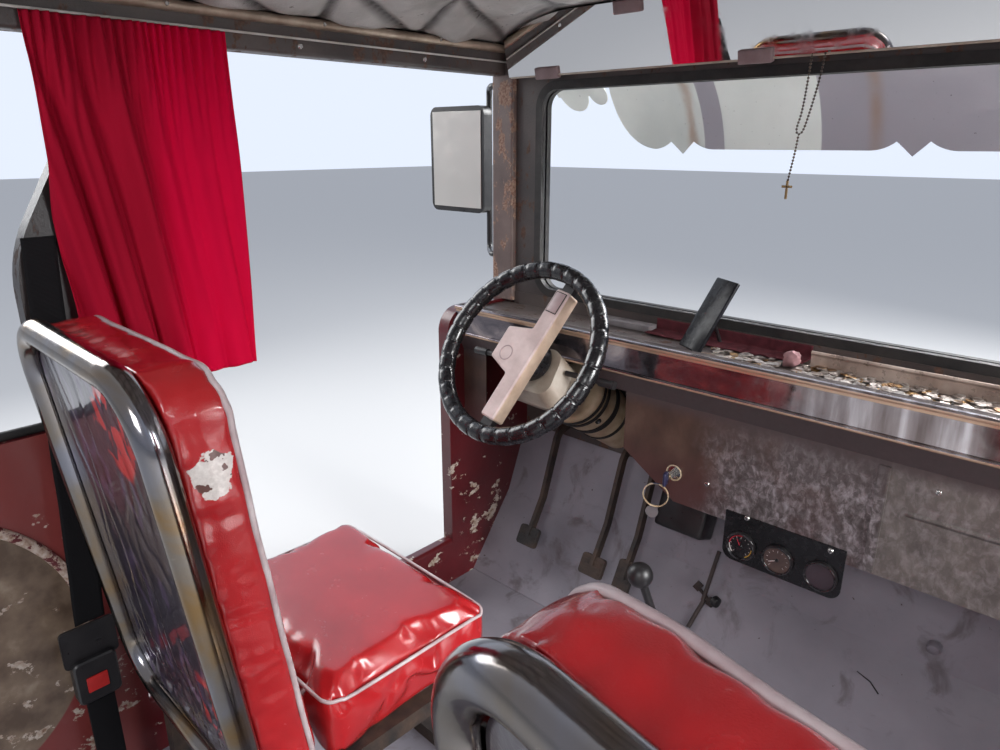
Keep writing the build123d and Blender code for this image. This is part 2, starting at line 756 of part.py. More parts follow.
# Column shroud: a thin plastic shell round the column, open at its lower end
shroud_start = 74.0  # along the axis, from the rim's centre
shroud_table = (  # distance below the start, half width, lowest, highest, corner radius
    (0.0, 62.0, -66.0, 40.0, 30.0),
    (36.0, 80.0, -86.0, 25.0, 30.0),
    (120.0, 66.0, -76.0, 25.0, 26.0),
)
with BuildPart() as column_shroud:
    for inset, drop, how in ((0.0, 0.0, Mode.ADD), (shroud_wall, shroud_wall, Mode.SUBTRACT)):
        for down, half, low, high, corner in shroud_table:
            with BuildSketch(straight_plane.offset(-shroud_start - down - drop)):
                with Locations((0, (low + high) / 2)):
                    RectangleRounded(2 * (half - inset), high - low - 2 * inset, corner - inset)
        loft(ruled=True, mode=how)
    with BuildSketch(straight_plane):
        Circle(column_r + rest)
    extrude(amount=-shroud_start - 2 * shroud_wall, mode=Mode.SUBTRACT)
column_shroud.part.label = "column_shroud"
export_step(column_shroud.part, "parts/column_shroud.step")

# Lower column cover, a tapered jacket round the column up to the firewall
cover_start = 245.0
cover_big_r = 80.0
cover_small_r = 64.0
with BuildPart() as column_cover:
    with BuildSketch(straight_plane.offset(-cover_start)):
        Circle(cover_big_r)
    with BuildSketch(straight_plane.offset(-column_end)):
        Circle(cover_small_r)
    loft()
    with BuildSketch(straight_plane.offset(-cover_start)):
        Circle(column_r + rest)
    extrude(amount=-column_end + cover_start, mode=Mode.SUBTRACT)
    split(bisect_by=Plane.XZ.offset(-firewall_y), keep=Keep.TOP)
    fillet(edges().filter_by(GeomType.CIRCLE).sort_by(SortBy.RADIUS)[-1], radius=14)
column_cover.part.label = "column_cover"
export_step(column_cover.part, "parts/column_cover.step")

# Steering wheel: round rim, two spokes, hub and shaft in one piece
spoke_low, spoke_high = -24.0, -8.0  # along the axis, from the rim's centre
spoke_v = -23.0  # the spokes lie to one side of the hub
spoke_width = 30.0
plate_r = 42.0
hub_end = 62.0
with BuildPart() as steering_wheel:
    with BuildSketch(Plane(wheel_plane.origin, x_dir=wheel_plane.x_dir, z_dir=-wheel_plane.y_dir)):
        with Locations((rim_r, 0)):
            Circle(rim_tube_r)
    revolve(axis=Axis(wheel_plane.origin, wheel_plane.z_dir), revolution_arc=360)
    with BuildSketch(wheel_plane.offset(spoke_low)):
        with Locations((0, spoke_v)):
            Rectangle(2 * (rim_r - 7), spoke_width)
        Circle(plate_r)
    extrude(amount=spoke_high - spoke_low)
    with BuildSketch(wheel_plane.offset(-hub_end)):
        Circle(hub_r)
    extrude(amount=hub_end + spoke_low)
    with BuildSketch(wheel_plane.offset(-column_end)):
        Circle(shaft_r)
    extrude(amount=column_end - hub_end)
steering_wheel.part.label = "steering_wheel"
export_step(steering_wheel.part, "parts/steering_wheel.step")

# Horn pad: a hollow bar over the spokes that bulges to one side over the hub
pad_low, pad_high = -30.0, 6.0
bar_half = 158.0
bar_low_v, bar_high_v = -46.0, -6.0
bulge_root, bulge_tip = 56.0, 38.0  # half widths where the bulge starts and ends
bulge_v = 58.0
with BuildPart() as horn_pad:
    with BuildSketch(wheel_plane.offset(pad_low)):
        with BuildLine():
            Polyline(
                (-bar_half, bar_low_v),
                (bar_half, bar_low_v),
                (bar_half, bar_high_v),
                (bulge_root, bar_high_v),
                (bulge_tip, bulge_v),
                (-bulge_tip, bulge_v),
                (-bulge_root, bar_high_v),
                (-bar_half, bar_high_v),
                close=True,
            )
        make_face()
        fillet(vertices(), radius=6)
    extrude(amount=pad_high - pad_low)
    with BuildSketch(wheel_plane.offset(pad_low)):
        with Locations((0, spoke_v)):
            Rectangle(2 * rim_r, spoke_width + 2 * rest)
        Circle(plate_r + rest)
    extrude(amount=spoke_high - pad_low, mode=Mode.SUBTRACT)
    pad_face = faces().filter_by(wheel_plane).sort_by(Axis(wheel_plane.origin, wheel_plane.z_dir))[-1]
    chamfer(pad_face.edges(), length=3)
horn_pad.part.label = "horn_pad"
export_step(horn_pad.part, "parts/horn_pad.step")

# Turn signal and wiper stalks, out of the shroud's sides
stalk_start = shroud_start + 18.0
stalk_root = 74.0  # just outside the shroud's side at the stalks
stalk_r = 6.0
stalk_length = 90.0
grip_r = 9.0
grip_length = 38.0
stalk_level = straight_plane.offset(-stalk_start)
with BuildPart() as column_stalks:
    for side in (-1, 1):
        outwards = stalk_level.x_dir * side
        for start, reach, radius in (
            (stalk_root + rest, stalk_length, stalk_r),
            (stalk_root + stalk_length, grip_length, grip_r),
        ):
            with BuildSketch(Plane(stalk_level.origin + outwards * start, z_dir=outwards)):
                Circle(radius)
            extrude(amount=reach)
column_stalks.part.label = "column_stalks"
export_step(column_stalks.part, "parts/column_stalks.step")

# Pedals: each hangs from a foot on the firewall
with BuildPart() as pedals:
    for pedal_dx, pad_w, pad_h in pedal_table:
        pedal_x = wheel_x + pedal_dx
        with BuildSketch(Plane.YZ.offset(pedal_x)):
            with BuildLine():
                FilletPolyline(
                    (firewall_y - pedal_foot, pedal_root_z),
                    (firewall_y - pedal_reach, pedal_root_z - pedal_drop),
                    (pedal_pad_y + pedal_knee, (pedal_root_z + pedal_pad_z) / 2 - pedal_sag),
                    (pedal_pad_y + pedal_foot, pedal_pad_z),
                    radius=pedal_bend_r,
                )
            trace(line_width=pedal_arm_width)
            with Locations((firewall_y / 2, pedal_root_z)):
                Rectangle(firewall_y, 2 * pedal_root_z, mode=Mode.INTERSECT)
        extrude(amount=pedal_arm_thick / 2, both=True)
        with BuildSketch(Plane.XZ.offset(-firewall_y)):
            with Locations((pedal_x, pedal_root_z)):
                Rectangle(2 * pedal_arm_width, 60)
        extrude(amount=6)
        pad_plane = Plane(
            origin=(pedal_x, pedal_pad_y, pedal_pad_z),
            x_dir=(1, 0, 0),
            z_dir=(0, -sin(radians(pedal_pad_tilt)), cos(radians(pedal_pad_tilt))),
        )
        with BuildSketch(pad_plane.offset(-2 * pedal_pad_thick / 3)):
            RectangleRounded(pad_w, pad_h, 8)
        extrude(amount=pedal_pad_thick)
        with BuildSketch(pad_plane.offset(pedal_pad_thick / 3)):
            with GridLocations(0, pad_h / 4, 1, 3):
                Rectangle(pad_w - 12, 5)
        extrude(amount=2)
pedals.part.label = "pedals"
export_step(pedals.part, "parts/pedals.step")

# Gear lever in a rubber boot that narrows upwards in folds
boot_folds = 3
fold_height = (boot_height - boot_flange) / boot_folds
boot_top_r = lever_r + 6
boot_top = Vector(lever_x, lever_y, floor_z + boot_height)
lever_run = Vector(knob_x, knob_y, knob_z) - boot_top
fold_step = (boot_r - boot_top_r) / boot_folds
with BuildPart() as gear_boot:
    with BuildSketch(Plane.XY.offset(floor_z)):
        with Locations((lever_x, lever_y)):
            Circle(boot_flange_r)
    extrude(amount=boot_flange)
    for fold in range(boot_folds):
        fold_low_z = floor_z + boot_flange + fold * fold_height
        with BuildSketch(Plane.XY.offset(fold_low_z)):
            with Locations((lever_x, lever_y)):
                Circle(boot_r - fold * fold_step)
        with BuildSketch(Plane.XY.offset(fold_low_z + fold_height)):
            with Locations((lever_x, lever_y)):
                Circle(boot_r - (fold + 1) * fold_step - 4 * (fold < boot_folds - 1))
        loft()
gear_boot.part.label = "gear_boot"
export_step(gear_boot.part, "parts/gear_boot.step")

lever_bend = boot_top + lever_run * 0.2
with BuildPart() as gear_lever:
    with BuildSketch(Plane(boot_top + Vector(0, 0, rest), z_dir=(0, 0, 1))):
        Circle(lever_r)
    with BuildSketch(Plane(lever_bend, z_dir=lever_run)):
        Circle(lever_r)
    loft()
    with BuildSketch(Plane(lever_bend, z_dir=lever_run)):
        Circle(lever_r)
    extrude(amount=lever_run.length * 0.8)
    with Locations((knob_x, knob_y, knob_z)):
        Sphere(knob_r)
gear_lever.part.label = "gear_lever"
export_step(gear_lever.part, "parts/gear_lever.step")

# Lines of the seat back, in a seat's own frame: forward distance at height z
loop_height = (loop_high_z - loop_low_z) / cos(loop_lean)
back_low_z = seat_frame_z + 15.0
pad_top_z = loop_high_z + tube_r + 3.0  # underside of the pad where it laps over the loop
pad_edge_z = loop_high_z + 8.0  # the pad's front edge


def loop_v(z):
    """Middle of the leaning loop."""
    return -(z - loop_low_z) * sin(loop_lean) / cos(loop_lean)


def pad_rear_v(z):
    """Rear face of the back pad, just clear of the loop's tube."""
    return loop_v(z) + (tube_r + rest) / cos(loop_lean)


# Seats: a bent tube loop with a board inside it, a back pad before it, a frame and a cushion
base_rear_v = tube_r + rest
base_mid_v = (seat_length + base_rear_v) / 2
base_run = seat_length - base_rear_v
cushion_rear_v = pad_rear_v(back_low_z) + pad_thick + rest
cushion_front_v = seat_length + 20.0
board_half = loop_width / 2 - tube_r - 1
for seat, seat_x, seat_y, seat_turn in seat_table:
    seat_plan = Plane(
        origin=(seat_x, seat_y, 0),
        x_dir=(cos(radians(seat_turn)), -sin(radians(seat_turn)), 0),
        z_dir=(0, 0, 1),
    )
    seat_side = Plane(origin=seat_plan.origin, x_dir=seat_plan.y_dir, z_dir=seat_plan.x_dir)
    seat_front = Plane(origin=seat_plan.origin, x_dir=seat_plan.x_dir, z_dir=-seat_plan.y_dir)
    loop_plane = Plane(
        origin=seat_plan.origin + Vector(0, 0, loop_low_z),
        x_dir=seat_plan.x_dir,
        z_dir=-seat_plan.y_dir * cos(loop_lean) - Vector(0, 0, sin(loop_lean)),
    )

    with BuildPart() as back_loop:
        with BuildLine(loop_plane) as loop_line:
            FilletPolyline(
                (loop_width / 2, 0),
                (loop_width / 2, loop_height),
                (-loop_width / 2, loop_height),
                (-loop_width / 2, 0),
                radius=loop_corner,
                close=True,
            )
        loop_wire = loop_line.wires()[0]
        with BuildSketch(Plane(loop_wire @ 0, z_dir=loop_wire % 0)):
            Circle(tube_r)
        sweep(path=loop_wire)
    back_loop.part.label = f"{seat}_back_loop"
    export_step(back_loop.part, f"parts/{seat}_back_loop.step")

    with BuildPart() as back_board:
        with BuildSketch(loop_plane.offset(-tube_r)):
            with Locations((0, loop_height / 2)):
                RectangleRounded(2 * board_half, loop_height - 2 * tube_r - 2, loop_corner - tube_r)
        extrude(amount=board_thick)
    back_board.part.label = f"{seat}_back_board"
    export_step(back_board.part, f"parts/{seat}_back_board.step")

    with BuildPart() as back_cushion:
        with BuildSketch(seat_side):
            with BuildLine():
                Polyline(
                    (pad_rear_v(back_low_z), back_low_z),
                    (pad_rear_v(pad_top_z), pad_top_z),
                    (loop_v(loop_high_z), pad_top_z),
                    (loop_v(loop_high_z), pad_top_z + pad_crown / 2),
                )
                ThreePointArc(
                    (loop_v(loop_high_z), pad_top_z + pad_crown / 2),
                    (pad_rear_v(pad_edge_z) + pad_thick / 3, pad_edge_z + pad_crown),
                    (pad_rear_v(pad_edge_z) + pad_thick, pad_edge_z),
                )
                Polyline(
                    (pad_rear_v(pad_edge_z) + pad_thick, pad_edge_z),
                    (pad_rear_v(back_low_z) + pad_thick, back_low_z),
                    (pad_rear_v(back_low_z), back_low_z),
                )
            make_face()
        extrude(amount=pad_width / 2, both=True)
        with BuildSketch(seat_front.offset(-pad_thick * 2)):
            with Locations((0, (pad_edge_z + pad_crown + back_low_z) / 2)):
                RectangleRounded(pad_width, pad_edge_z + pad_crown - back_low_z, pad_corner)
            with Locations((0, back_low_z)):
                Rectangle(pad_width, 2 * pad_corner, align=(Align.CENTER, Align.MIN))
        extrude(amount=pad_thick * 4, mode=Mode.INTERSECT)
    back_cushion.part.label = f"{seat}_back_cushion"
    export_step(back_cushion.part, f"parts/{seat}_back_cushion.step")

    with BuildPart() as seat_base:
        for ring_z in (floor_z, seat_frame_z - seat_bar):
            with BuildSketch(seat_plan.offset(ring_z)):
                with Locations((0, base_mid_v)):
                    Rectangle(loop_width, base_run)
                    Rectangle(loop_width - 2 * seat_bar, base_run - 2 * seat_bar, mode=Mode.SUBTRACT)
            extrude(amount=seat_bar)
        with BuildSketch(seat_plan.offset(floor_z)):
            with Locations((0, base_mid_v)):
                with GridLocations(loop_width - seat_bar, base_run - seat_bar, 2, 2):
                    Rectangle(seat_bar, seat_bar)
        extrude(amount=seat_frame_z - floor_z)
    seat_base.part.label = f"{seat}_seat_base"
    export_step(seat_base.part, f"parts/{seat}_seat_base.step")

    with BuildPart() as seat_cushion:
        with BuildSketch(seat_plan.offset(seat_frame_z + rest)):
            with Locations((0, (cushion_rear_v + cushion_front_v) / 2)):
                RectangleRounded(pad_width - 26, cushion_front_v - cushion_rear_v, cushion_round + 10)
        extrude(amount=cushion_thick)
        fillet(faces().sort_by(Axis.Z)[-1].edges(), radius=cushion_round)
    seat_cushion.part.label = f"{seat}_seat_cushion"
    export_step(seat_cushion.part, f"parts/{seat}_seat_cushion.step")

# Seat belt: webbing from the door post, down beside the driver's loop to its tongue
belt_width = 48.0
belt_thick = 2.5
belt_gap = 2.5  # between the webbing and the side of the loop's tube
buckle_x = seat_table[0][1] - loop_width / 2 - tube_r - belt_gap
buckle_y = post_foot_y - 56
buckle_low_z, buckle_high_z = 300.0, 385.0
buckle_width, buckle_thick = 70.0, 28.0
tongue_width, tongue_thick = 88.0, 5.0
tongue_high_z = 448.0
strap_width, strap_thick = 44.0, 6.0
belt_top = Vector(-inner_half + belt_thick, post_foot_y, post_bend_z + 40)
belt_end = Vector(buckle_x, buckle_y + 8, tongue_high_z + belt_thick)
belt_run = belt_end - belt_top
with BuildPart() as belt_webbing:
    with BuildSketch(Plane(belt_top, x_dir=(0, 1, 0), z_dir=belt_run)):
        Rectangle(belt_width, belt_thick)
    extrude(amount=belt_run.length)
belt_webbing.part.label = "belt_webbing"
export_step(belt_webbing.part, "parts/belt_webbing.step")

# Buckle with the tongue in it, on a strap up from the floor
with BuildPart() as belt_buckle:
    with BuildSketch(Plane.YZ.offset(buckle_x - buckle_thick / 2)):
        with Locations((buckle_y, (buckle_low_z + buckle_high_z) / 2)):
            RectangleRounded(buckle_width, buckle_high_z - buckle_low_z, 10)
    extrude(amount=buckle_thick)
    chamfer(faces().filter_by(Plane.YZ).edges(), length=3)
    with BuildSketch(Plane.YZ.offset(buckle_x - tongue_thick / 2)):
        with Locations((buckle_y, (buckle_high_z - 10 + tongue_high_z) / 2)):
            RectangleRounded(tongue_width, tongue_high_z - buckle_high_z + 10, 8)
    extrude(amount=tongue_thick)
    with BuildSketch(Plane.XY.offset(floor_z)):
        with Locations((buckle_x, buckle_y)):
            Rectangle(strap_thick, strap_width)
    extrude(amount=buckle_low_z - floor_z + 5)
belt_buckle.part.label = "belt_buckle"
export_step(belt_buckle.part, "parts/belt_buckle.step")

# Curtains on wires along the door openings
wire_x = inner_half - 16.0
curtain_x = wire_x - 6.0
curtain_rear_y, curtain_front_y = -465.0, -156.0
curtain_low_z = 830.0
curtain_thick = 16.0
wire_lift = 29.0  # above the rails' lower edge
wire_z = rail_low_z + wire_lift
wire_r = 2.0
curtain_high_z = wire_z - wire_r - rest
with BuildPart() as curtain_wires:
    with BuildSketch(Plane.XZ.offset(-header_y)):
        with Locations((wire_x, wire_z)):
            Circle(wire_r)
    extrude(amount=header_y - rear_y)
    mirror(about=Plane.YZ)
curtain_wires.part.label = "curtain_wires"
export_step(curtain_wires.part, "parts/curtain_wires.step")

with BuildPart() as curtains:
    with BuildSketch(Plane.YZ.offset(curtain_x - curtain_thick / 2)):
        with Locations(((curtain_rear_y + curtain_front_y) / 2, (curtain_low_z + curtain_high_z) / 2)):
            Rectangle(curtain_front_y - curtain_rear_y, curtain_high_z - curtain_low_z)
    extrude(amount=curtain_thick)
    mirror(about=Plane.YZ)
curtains.part.label = "curtains"
export_step(curtains.part, "parts/curtains.step")

# Outside mirrors on tube arms from the front pillars
arm_r = 8.0
arm_x = outer_half + 95.0
arm_y = 660.0
arm_top_drop = 20.0  # upper foot below the rails
arm_foot_lift = 110.0  # lower foot above the cowl
arm_low_z, arm_high_z = cowl_z + arm_foot_lift, rail_low_z - arm_top_drop
arm_root_x = outer_half
head_width, head_height, head_depth = 212.0, 281.0, 30.0
head_lift = 102.0  # above the lower foot
head_low_z = arm_low_z + head_lift
with BuildPart() as mirror_arms:
    with BuildLine() as arm_line:
        FilletPolyline(
            (arm_root_x, screen_y, arm_low_z),
            (arm_root_x + 30, screen_y, arm_low_z),
            (arm_x, arm_y, arm_low_z),
            (arm_x, arm_y, arm_high_z),
            (arm_root_x + 30, screen_y, arm_high_z),
            (arm_root_x, screen_y, arm_high_z),
            radius=20,
        )
    with BuildSketch(Plane(arm_line.line @ 0, z_dir=arm_line.line % 0)):
        Circle(arm_r)
    sweep(path=arm_line.line)
    mirror(about=Plane.YZ)
mirror_arms.part.label = "mirror_arms"
export_step(mirror_arms.part, "parts/mirror_arms.step")

with BuildPart() as mirror_heads:
    with BuildSketch(Plane.XZ.offset(-arm_y + arm_r + rest)):
        with Locations((arm_x + head_width / 2 - 17, head_low_z + head_height / 2)):
            RectangleRounded(head_width, head_height, 24)
    extrude(amount=head_depth)
    mirror(about=Plane.YZ)
mirror_heads.part.label = "mirror_heads"
export_step(mirror_heads.part, "parts/mirror_heads.step")
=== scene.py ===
# %% [markdown]
# # Dressing the driver's cab of a jeepney
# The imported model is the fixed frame, in metres: +X is the vehicle's right, +Y is forward and +Z is up. The
# solids give every size. This script gives them their finishes, and adds the soft pieces and small fittings.

import math
import random

import bmesh
import bpy
from mathutils import Matrix, Vector, noise
from mathutils.bvhtree import BVHTree


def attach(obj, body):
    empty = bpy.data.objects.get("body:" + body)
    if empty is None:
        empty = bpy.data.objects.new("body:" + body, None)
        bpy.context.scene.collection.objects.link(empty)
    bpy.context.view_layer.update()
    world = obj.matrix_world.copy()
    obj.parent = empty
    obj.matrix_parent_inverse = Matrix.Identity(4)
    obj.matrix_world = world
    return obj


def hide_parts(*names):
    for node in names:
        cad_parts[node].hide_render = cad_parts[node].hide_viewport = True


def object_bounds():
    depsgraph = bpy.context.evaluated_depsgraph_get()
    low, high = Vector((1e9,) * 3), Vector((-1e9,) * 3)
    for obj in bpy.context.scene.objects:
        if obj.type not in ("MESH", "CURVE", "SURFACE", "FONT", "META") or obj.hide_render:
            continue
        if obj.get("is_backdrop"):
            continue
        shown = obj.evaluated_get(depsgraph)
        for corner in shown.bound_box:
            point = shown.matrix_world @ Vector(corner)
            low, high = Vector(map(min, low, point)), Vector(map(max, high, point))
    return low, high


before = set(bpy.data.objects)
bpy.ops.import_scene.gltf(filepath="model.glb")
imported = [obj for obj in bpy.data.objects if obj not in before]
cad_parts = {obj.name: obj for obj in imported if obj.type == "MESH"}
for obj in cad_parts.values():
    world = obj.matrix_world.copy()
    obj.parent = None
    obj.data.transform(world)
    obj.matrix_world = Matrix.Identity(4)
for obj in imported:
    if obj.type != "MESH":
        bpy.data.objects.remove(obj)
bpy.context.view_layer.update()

# %% [markdown]
# ## Helpers for finishes
# A finish starts from one shader with its colour and gloss set on its own sockets. Nodes then vary the colour
# and raise the surface. It could be drawn in the node editor, but a few helpers with plain names keep each
# finish to some lines. All patterns read Object coordinates, which here are metres on the cab, so a grain of
# 2 mm is 2 mm on every piece. Colours are given as on a screen, from 0 to 255.


# %% Finish helpers
def linear(colour):
    """A screen colour's three numbers from 0 to 255 as the shader's linear colour; all else stays."""
    if not isinstance(colour, tuple) or len(colour) == 4:
        return colour
    return (*(v / 255 / 12.92 if v < 10.3 else ((v / 255 + 0.055) / 1.055) ** 2.4 for v in colour), 1)


def finish(name, colour, roughness, metallic=0.0, **sockets):
    """A new material with these numbers on its shader."""
    material = bpy.data.materials.new(name)
    material.use_nodes = True
    shader = material.node_tree.nodes["Principled BSDF"]
    shader.inputs["Base Color"].default_value = linear(colour)
    shader.inputs["Roughness"].default_value = roughness
    shader.inputs["Metallic"].default_value = metallic
    for socket, value in sockets.items():
        shader.inputs[socket.replace("_", " ")].default_value = value
    return material


def add(material, kind, sockets=(), **settings):
    """Adds a node; sockets pairs an input's name or number with a value or another node's output."""
    node = material.node_tree.nodes.new("ShaderNode" + kind)
    for key, value in settings.items():
        setattr(node, key, value)
    for socket, value in dict(sockets).items():
        if isinstance(value, bpy.types.NodeSocket):
            material.node_tree.links.new(value, node.inputs[socket])
        else:
            node.inputs[socket].default_value = value
    return node


def places(material, scale=(1, 1, 1), turn=(0, 0, 0), shift=(0, 0, 0)):
    """Object coordinates, stretched, turned or moved."""
    where = add(material, "TexCoord").outputs["Object"]
    sockets = {"Vector": where, "Scale": scale, "Rotation": turn, "Location": shift}
    return add(material, "Mapping", sockets).outputs[0]


def grain(material, size, detail=4.0, stretch=(1, 1, 1), roughness=0.55, distortion=0.0, turn=(0, 0, 0)):
    """Noise whose blots are about size metres across, as a value from 0 to 1."""
    where = places(material, stretch, turn)
    sockets = {
        "Vector": where, "Scale": 1 / size, "Detail": detail, "Roughness": roughness, "Distortion": distortion
    }
    return add(material, "TexNoise", sockets).outputs[0]


def steps(material, value, *stops):
    """A colour ramp: each stop is a place from 0 to 1 and a colour or a grey."""
    node = add(material, "ValToRGB", {0: value})
    while len(node.color_ramp.elements) < len(stops):
        node.color_ramp.elements.new(1.0)
    for element, (place, colour) in zip(node.color_ramp.elements, stops):
        element.position = place
        element.color = linear(colour) if isinstance(colour, tuple) else (colour, colour, colour, 1)
    return node.outputs[0]


def blend(material, share, first, second):
    """Two colours, or colour outputs, mixed by a share from 0 to 1."""
    return add(material, "Mix", {0: share, 6: linear(first), 7: linear(second)}, data_type="RGBA").outputs[2]


def wire_up(material, colour=None, roughness=None, metallic=None, height=None, lift=0.001):
    """Joins outputs to the shader; height raises the surface by up to lift metres."""
    shader = material.node_tree.nodes["Principled BSDF"]
    for socket, value in (("Base Color", colour), ("Roughness", roughness), ("Metallic", metallic)):
        if value is not None:
            material.node_tree.links.new(value, shader.inputs[socket])
    if height is not None:
        bump = add(material, "Bump", {"Height": height, "Distance": lift, "Strength": 1.0})
        material.node_tree.links.new(bump.outputs[0], shader.inputs["Normal"])
    return material


def axis(material, letter):
    """The distance in metres along one axis of the cab."""
    apart = add(material, "SeparateXYZ", {0: add(material, "TexCoord").outputs["Object"]})
    return apart.outputs["XYZ".index(letter)]


def ramp(material, value, start, end):
    """0 below start, 1 above end, and smooth between them."""
    return add(material, "MapRange", {0: value, 1: start, 2: end}, interpolation_type="SMOOTHSTEP").outputs[0]


def times(material, first, second):
    """The product of two values, or of a value and a number, kept from 0 to 1."""
    return add(material, "Math", {0: first, 1: second}, operation="MULTIPLY", use_clamp=True).outputs[0]


def plus(material, first, second):
    """The sum of two values, or of a value and a number."""
    return add(material, "Math", {0: first, 1: second}, operation="ADD").outputs[0]


def less(material, first, second):
    """The first value less the second, kept from 0 to 1."""
    return add(material, "Math", {0: first, 1: second}, operation="SUBTRACT", use_clamp=True).outputs[0]


def larger(material, first, second):
    """The larger of two values."""
    return add(material, "Math", {0: first, 1: second}, operation="MAXIMUM", use_clamp=True).outputs[0]


def amount(material, value):
    """How far a value is from 0, on either side."""
    return add(material, "Math", {0: value}, operation="ABSOLUTE").outputs[0]


# %% [markdown]
# ## Camera
# The view is from behind the passenger's seat at eye height, looking left and down over both seat backs. The
# place and angles come from lines that are known to be level or upright on the cab.

# %% Camera
camera_data = bpy.data.cameras.new("camera")
camera_data.lens = 25.92
camera_data.sensor_width = 36.0
camera_data.clip_start = 0.01
camera = bpy.data.objects.new("camera", camera_data)
camera.location = (0.497, -0.828, 1.240)
camera.rotation_euler = (math.radians(72.07), 0, math.radians(43.0))
bpy.context.scene.collection.objects.link(camera)
bpy.context.scene.camera = camera
print("camera stands", round(camera.location.z, 2), "m above the floor")

# %% [markdown]
# ## Light and floor
# A cab is lit through its openings. Large square lamps stand outside the windscreen, the doors and the open
# rear, and a pale sky fills the rest, so that bright panes show in the vinyl and the polished steel. The sky
# is dark behind the cab, where the rest of the vehicle would be.

# %% Light
sky = bpy.data.worlds.new("sky")
bpy.context.scene.world = sky
sky.use_nodes = True
sky.node_tree.nodes["Background"].inputs["Strength"].default_value = 1.2
sky_way = add(sky, "TexCoord").outputs["Generated"]
forwards = add(sky, "SeparateXYZ", {0: sky_way}).outputs["Y"]
from_behind = add(sky, "Math", {0: forwards, 1: 0.5, 2: 0.5}, operation="MULTIPLY_ADD").outputs[0]
sky_tone = steps(sky, from_behind, (0.25, (0.40, 0.41, 0.46, 1)), (0.62, (0.68, 0.74, 0.86, 1)))
sky.node_tree.links.new(sky_tone, sky.node_tree.nodes["Background"].inputs["Color"])
SOFTBOXES = (  # name, place, aimed at, side in metres, power in watts
    ("front_light", (0.9, 3.2, 2.7), (-0.1, 0.2, 0.8), 2.0, 250),
    ("right_light", (3.0, 0.3, 1.9), (0.0, 0.1, 0.7), 1.5, 200),
    ("left_light", (-3.0, -0.2, 2.0), (0.0, 0.0, 0.8), 1.6, 45),
    ("rear_light", (1.2, -2.9, 2.4), (-0.2, 0.0, 0.8), 1.2, 45),
)
for lamp_name, place, aim, width, power in SOFTBOXES:
    lamp_data = bpy.data.lights.new(lamp_name, "AREA")
    lamp_data.size = width
    lamp_data.energy = power
    lamp = bpy.data.objects.new(lamp_name, lamp_data)
    lamp.location = place
    lamp.rotation_euler = (Vector(aim) - Vector(place)).to_track_quat("-Z", "Y").to_euler()
    bpy.context.scene.collection.objects.link(lamp)
bpy.context.scene.view_settings.view_transform = "Standard"  # paint colours come out as they are given
print(len(SOFTBOXES), "lamps")

# %% [markdown]
# ## Steel finishes
# The seat tubes and the dash band are bare steel, and the tray's guard is browned to a dull bronze. The band
# is polished like a mirror, but it is thin sheet that waves, so its reflections wobble; low wide bumps do
# that. Its colour also holds painted reflections: dark blots towards the left end and bright upright
# streaks towards the right, picked by the distance across the cab. Its pressed beads carry a painted tan
# reflection and its top return is painted dark and dull, so the height on the cab picks those tones. The
# tubes are tanned in patches, which one wide noise gives.

# %% Polished band and worn tube
band_steel = finish("band_steel", (150, 146, 148), 0.08, 0.9)
band_z = axis(band_steel, "Z")
# Painted reflections along the band: dark blots towards the left end, bright upright streaks towards the
# right end.
dark_reflection_blots = grain(band_steel, 0.10, 5, (1, 1, 2.2), distortion=0.8)
painted_dark_reflection = steps(band_steel, dark_reflection_blots, (0.36, (96, 92, 98)), (0.52, (124, 116, 120)), (0.66, (164, 152, 150)))
reflection_streak_noise = grain(band_steel, 0.035, 4, (1, 1, 0.10))
painted_bright_reflection = steps(
    band_steel, reflection_streak_noise, (0.34, (120, 108, 106)), (0.5, (158, 148, 148)), (0.66, (214, 208, 210))
)
band_colour = blend(band_steel, ramp(band_steel, axis(band_steel, "X"), -0.10, 0.22), painted_dark_reflection, painted_bright_reflection)
upper_bead = times(
    band_steel, ramp(band_steel, band_z, 0.8340, 0.8355), ramp(band_steel, band_z, 0.8475, 0.8460)
)
lower_bead = ramp(band_steel, band_z, 0.7815, 0.7800)
beads = larger(band_steel, upper_bead, lower_bead)
# The beads are tinted tan as a painted reflection.
band_colour = blend(band_steel, times(band_steel, beads, 0.9), band_colour, (202, 170, 142))
# The top return is painted dark and dull.
shelf = times(
    band_steel,
    ramp(band_steel, band_z, 0.8478, 0.8486),
    ramp(band_steel, axis(band_steel, "Y"), 0.404, 0.408),
)
wire_up(
    band_steel,
    colour=blend(band_steel, shelf, band_colour, (62, 54, 54)),
    metallic=less(band_steel, steps(band_steel, beads, (0.0, 0.9), (1.0, 0.45)), shelf),
    roughness=plus(
        band_steel, steps(band_steel, grain(band_steel, 0.02, 6), (0.35, 0.06), (0.7, 0.22)), shelf
    ),
    height=grain(band_steel, 0.12, 1, (1, 1, 1.6)),
    lift=0.004,
)
guard_bronze = finish("guard_bronze", (184, 164, 152), 0.34, 0.4)
wire_up(
    guard_bronze,
    colour=steps(
        guard_bronze,
        grain(guard_bronze, 0.07, 6, (1, 1, 0.5)),
        (0.34, (198, 180, 168)),
        (0.55, (168, 148, 136)),
        (0.72, (116, 98, 90)),
    ),
    roughness=steps(guard_bronze, grain(guard_bronze, 0.02, 5), (0.35, 0.22), (0.7, 0.5)),
    height=grain(guard_bronze, 0.05, 3),
    lift=0.0015,
)
tube_steel = finish("tube_steel", (140, 134, 132), 0.2, 1.0)
tan_patches = grain(tube_steel, 0.16, 4, distortion=0.6)
wire_up(
    tube_steel,
    colour=steps(
        tube_steel, tan_patches, (0.38, (130, 131, 140)), (0.53, (128, 120, 112)), (0.66, (138, 112, 78))
    ),
    roughness=steps(tube_steel, grain(tube_steel, 0.03, 5), (0.3, 0.09), (0.72, 0.22)),
    height=grain(tube_steel, 0.01, 3),
    lift=0.0001,
)
print("steel:", band_steel.name, guard_bronze.name, tube_steel.name)
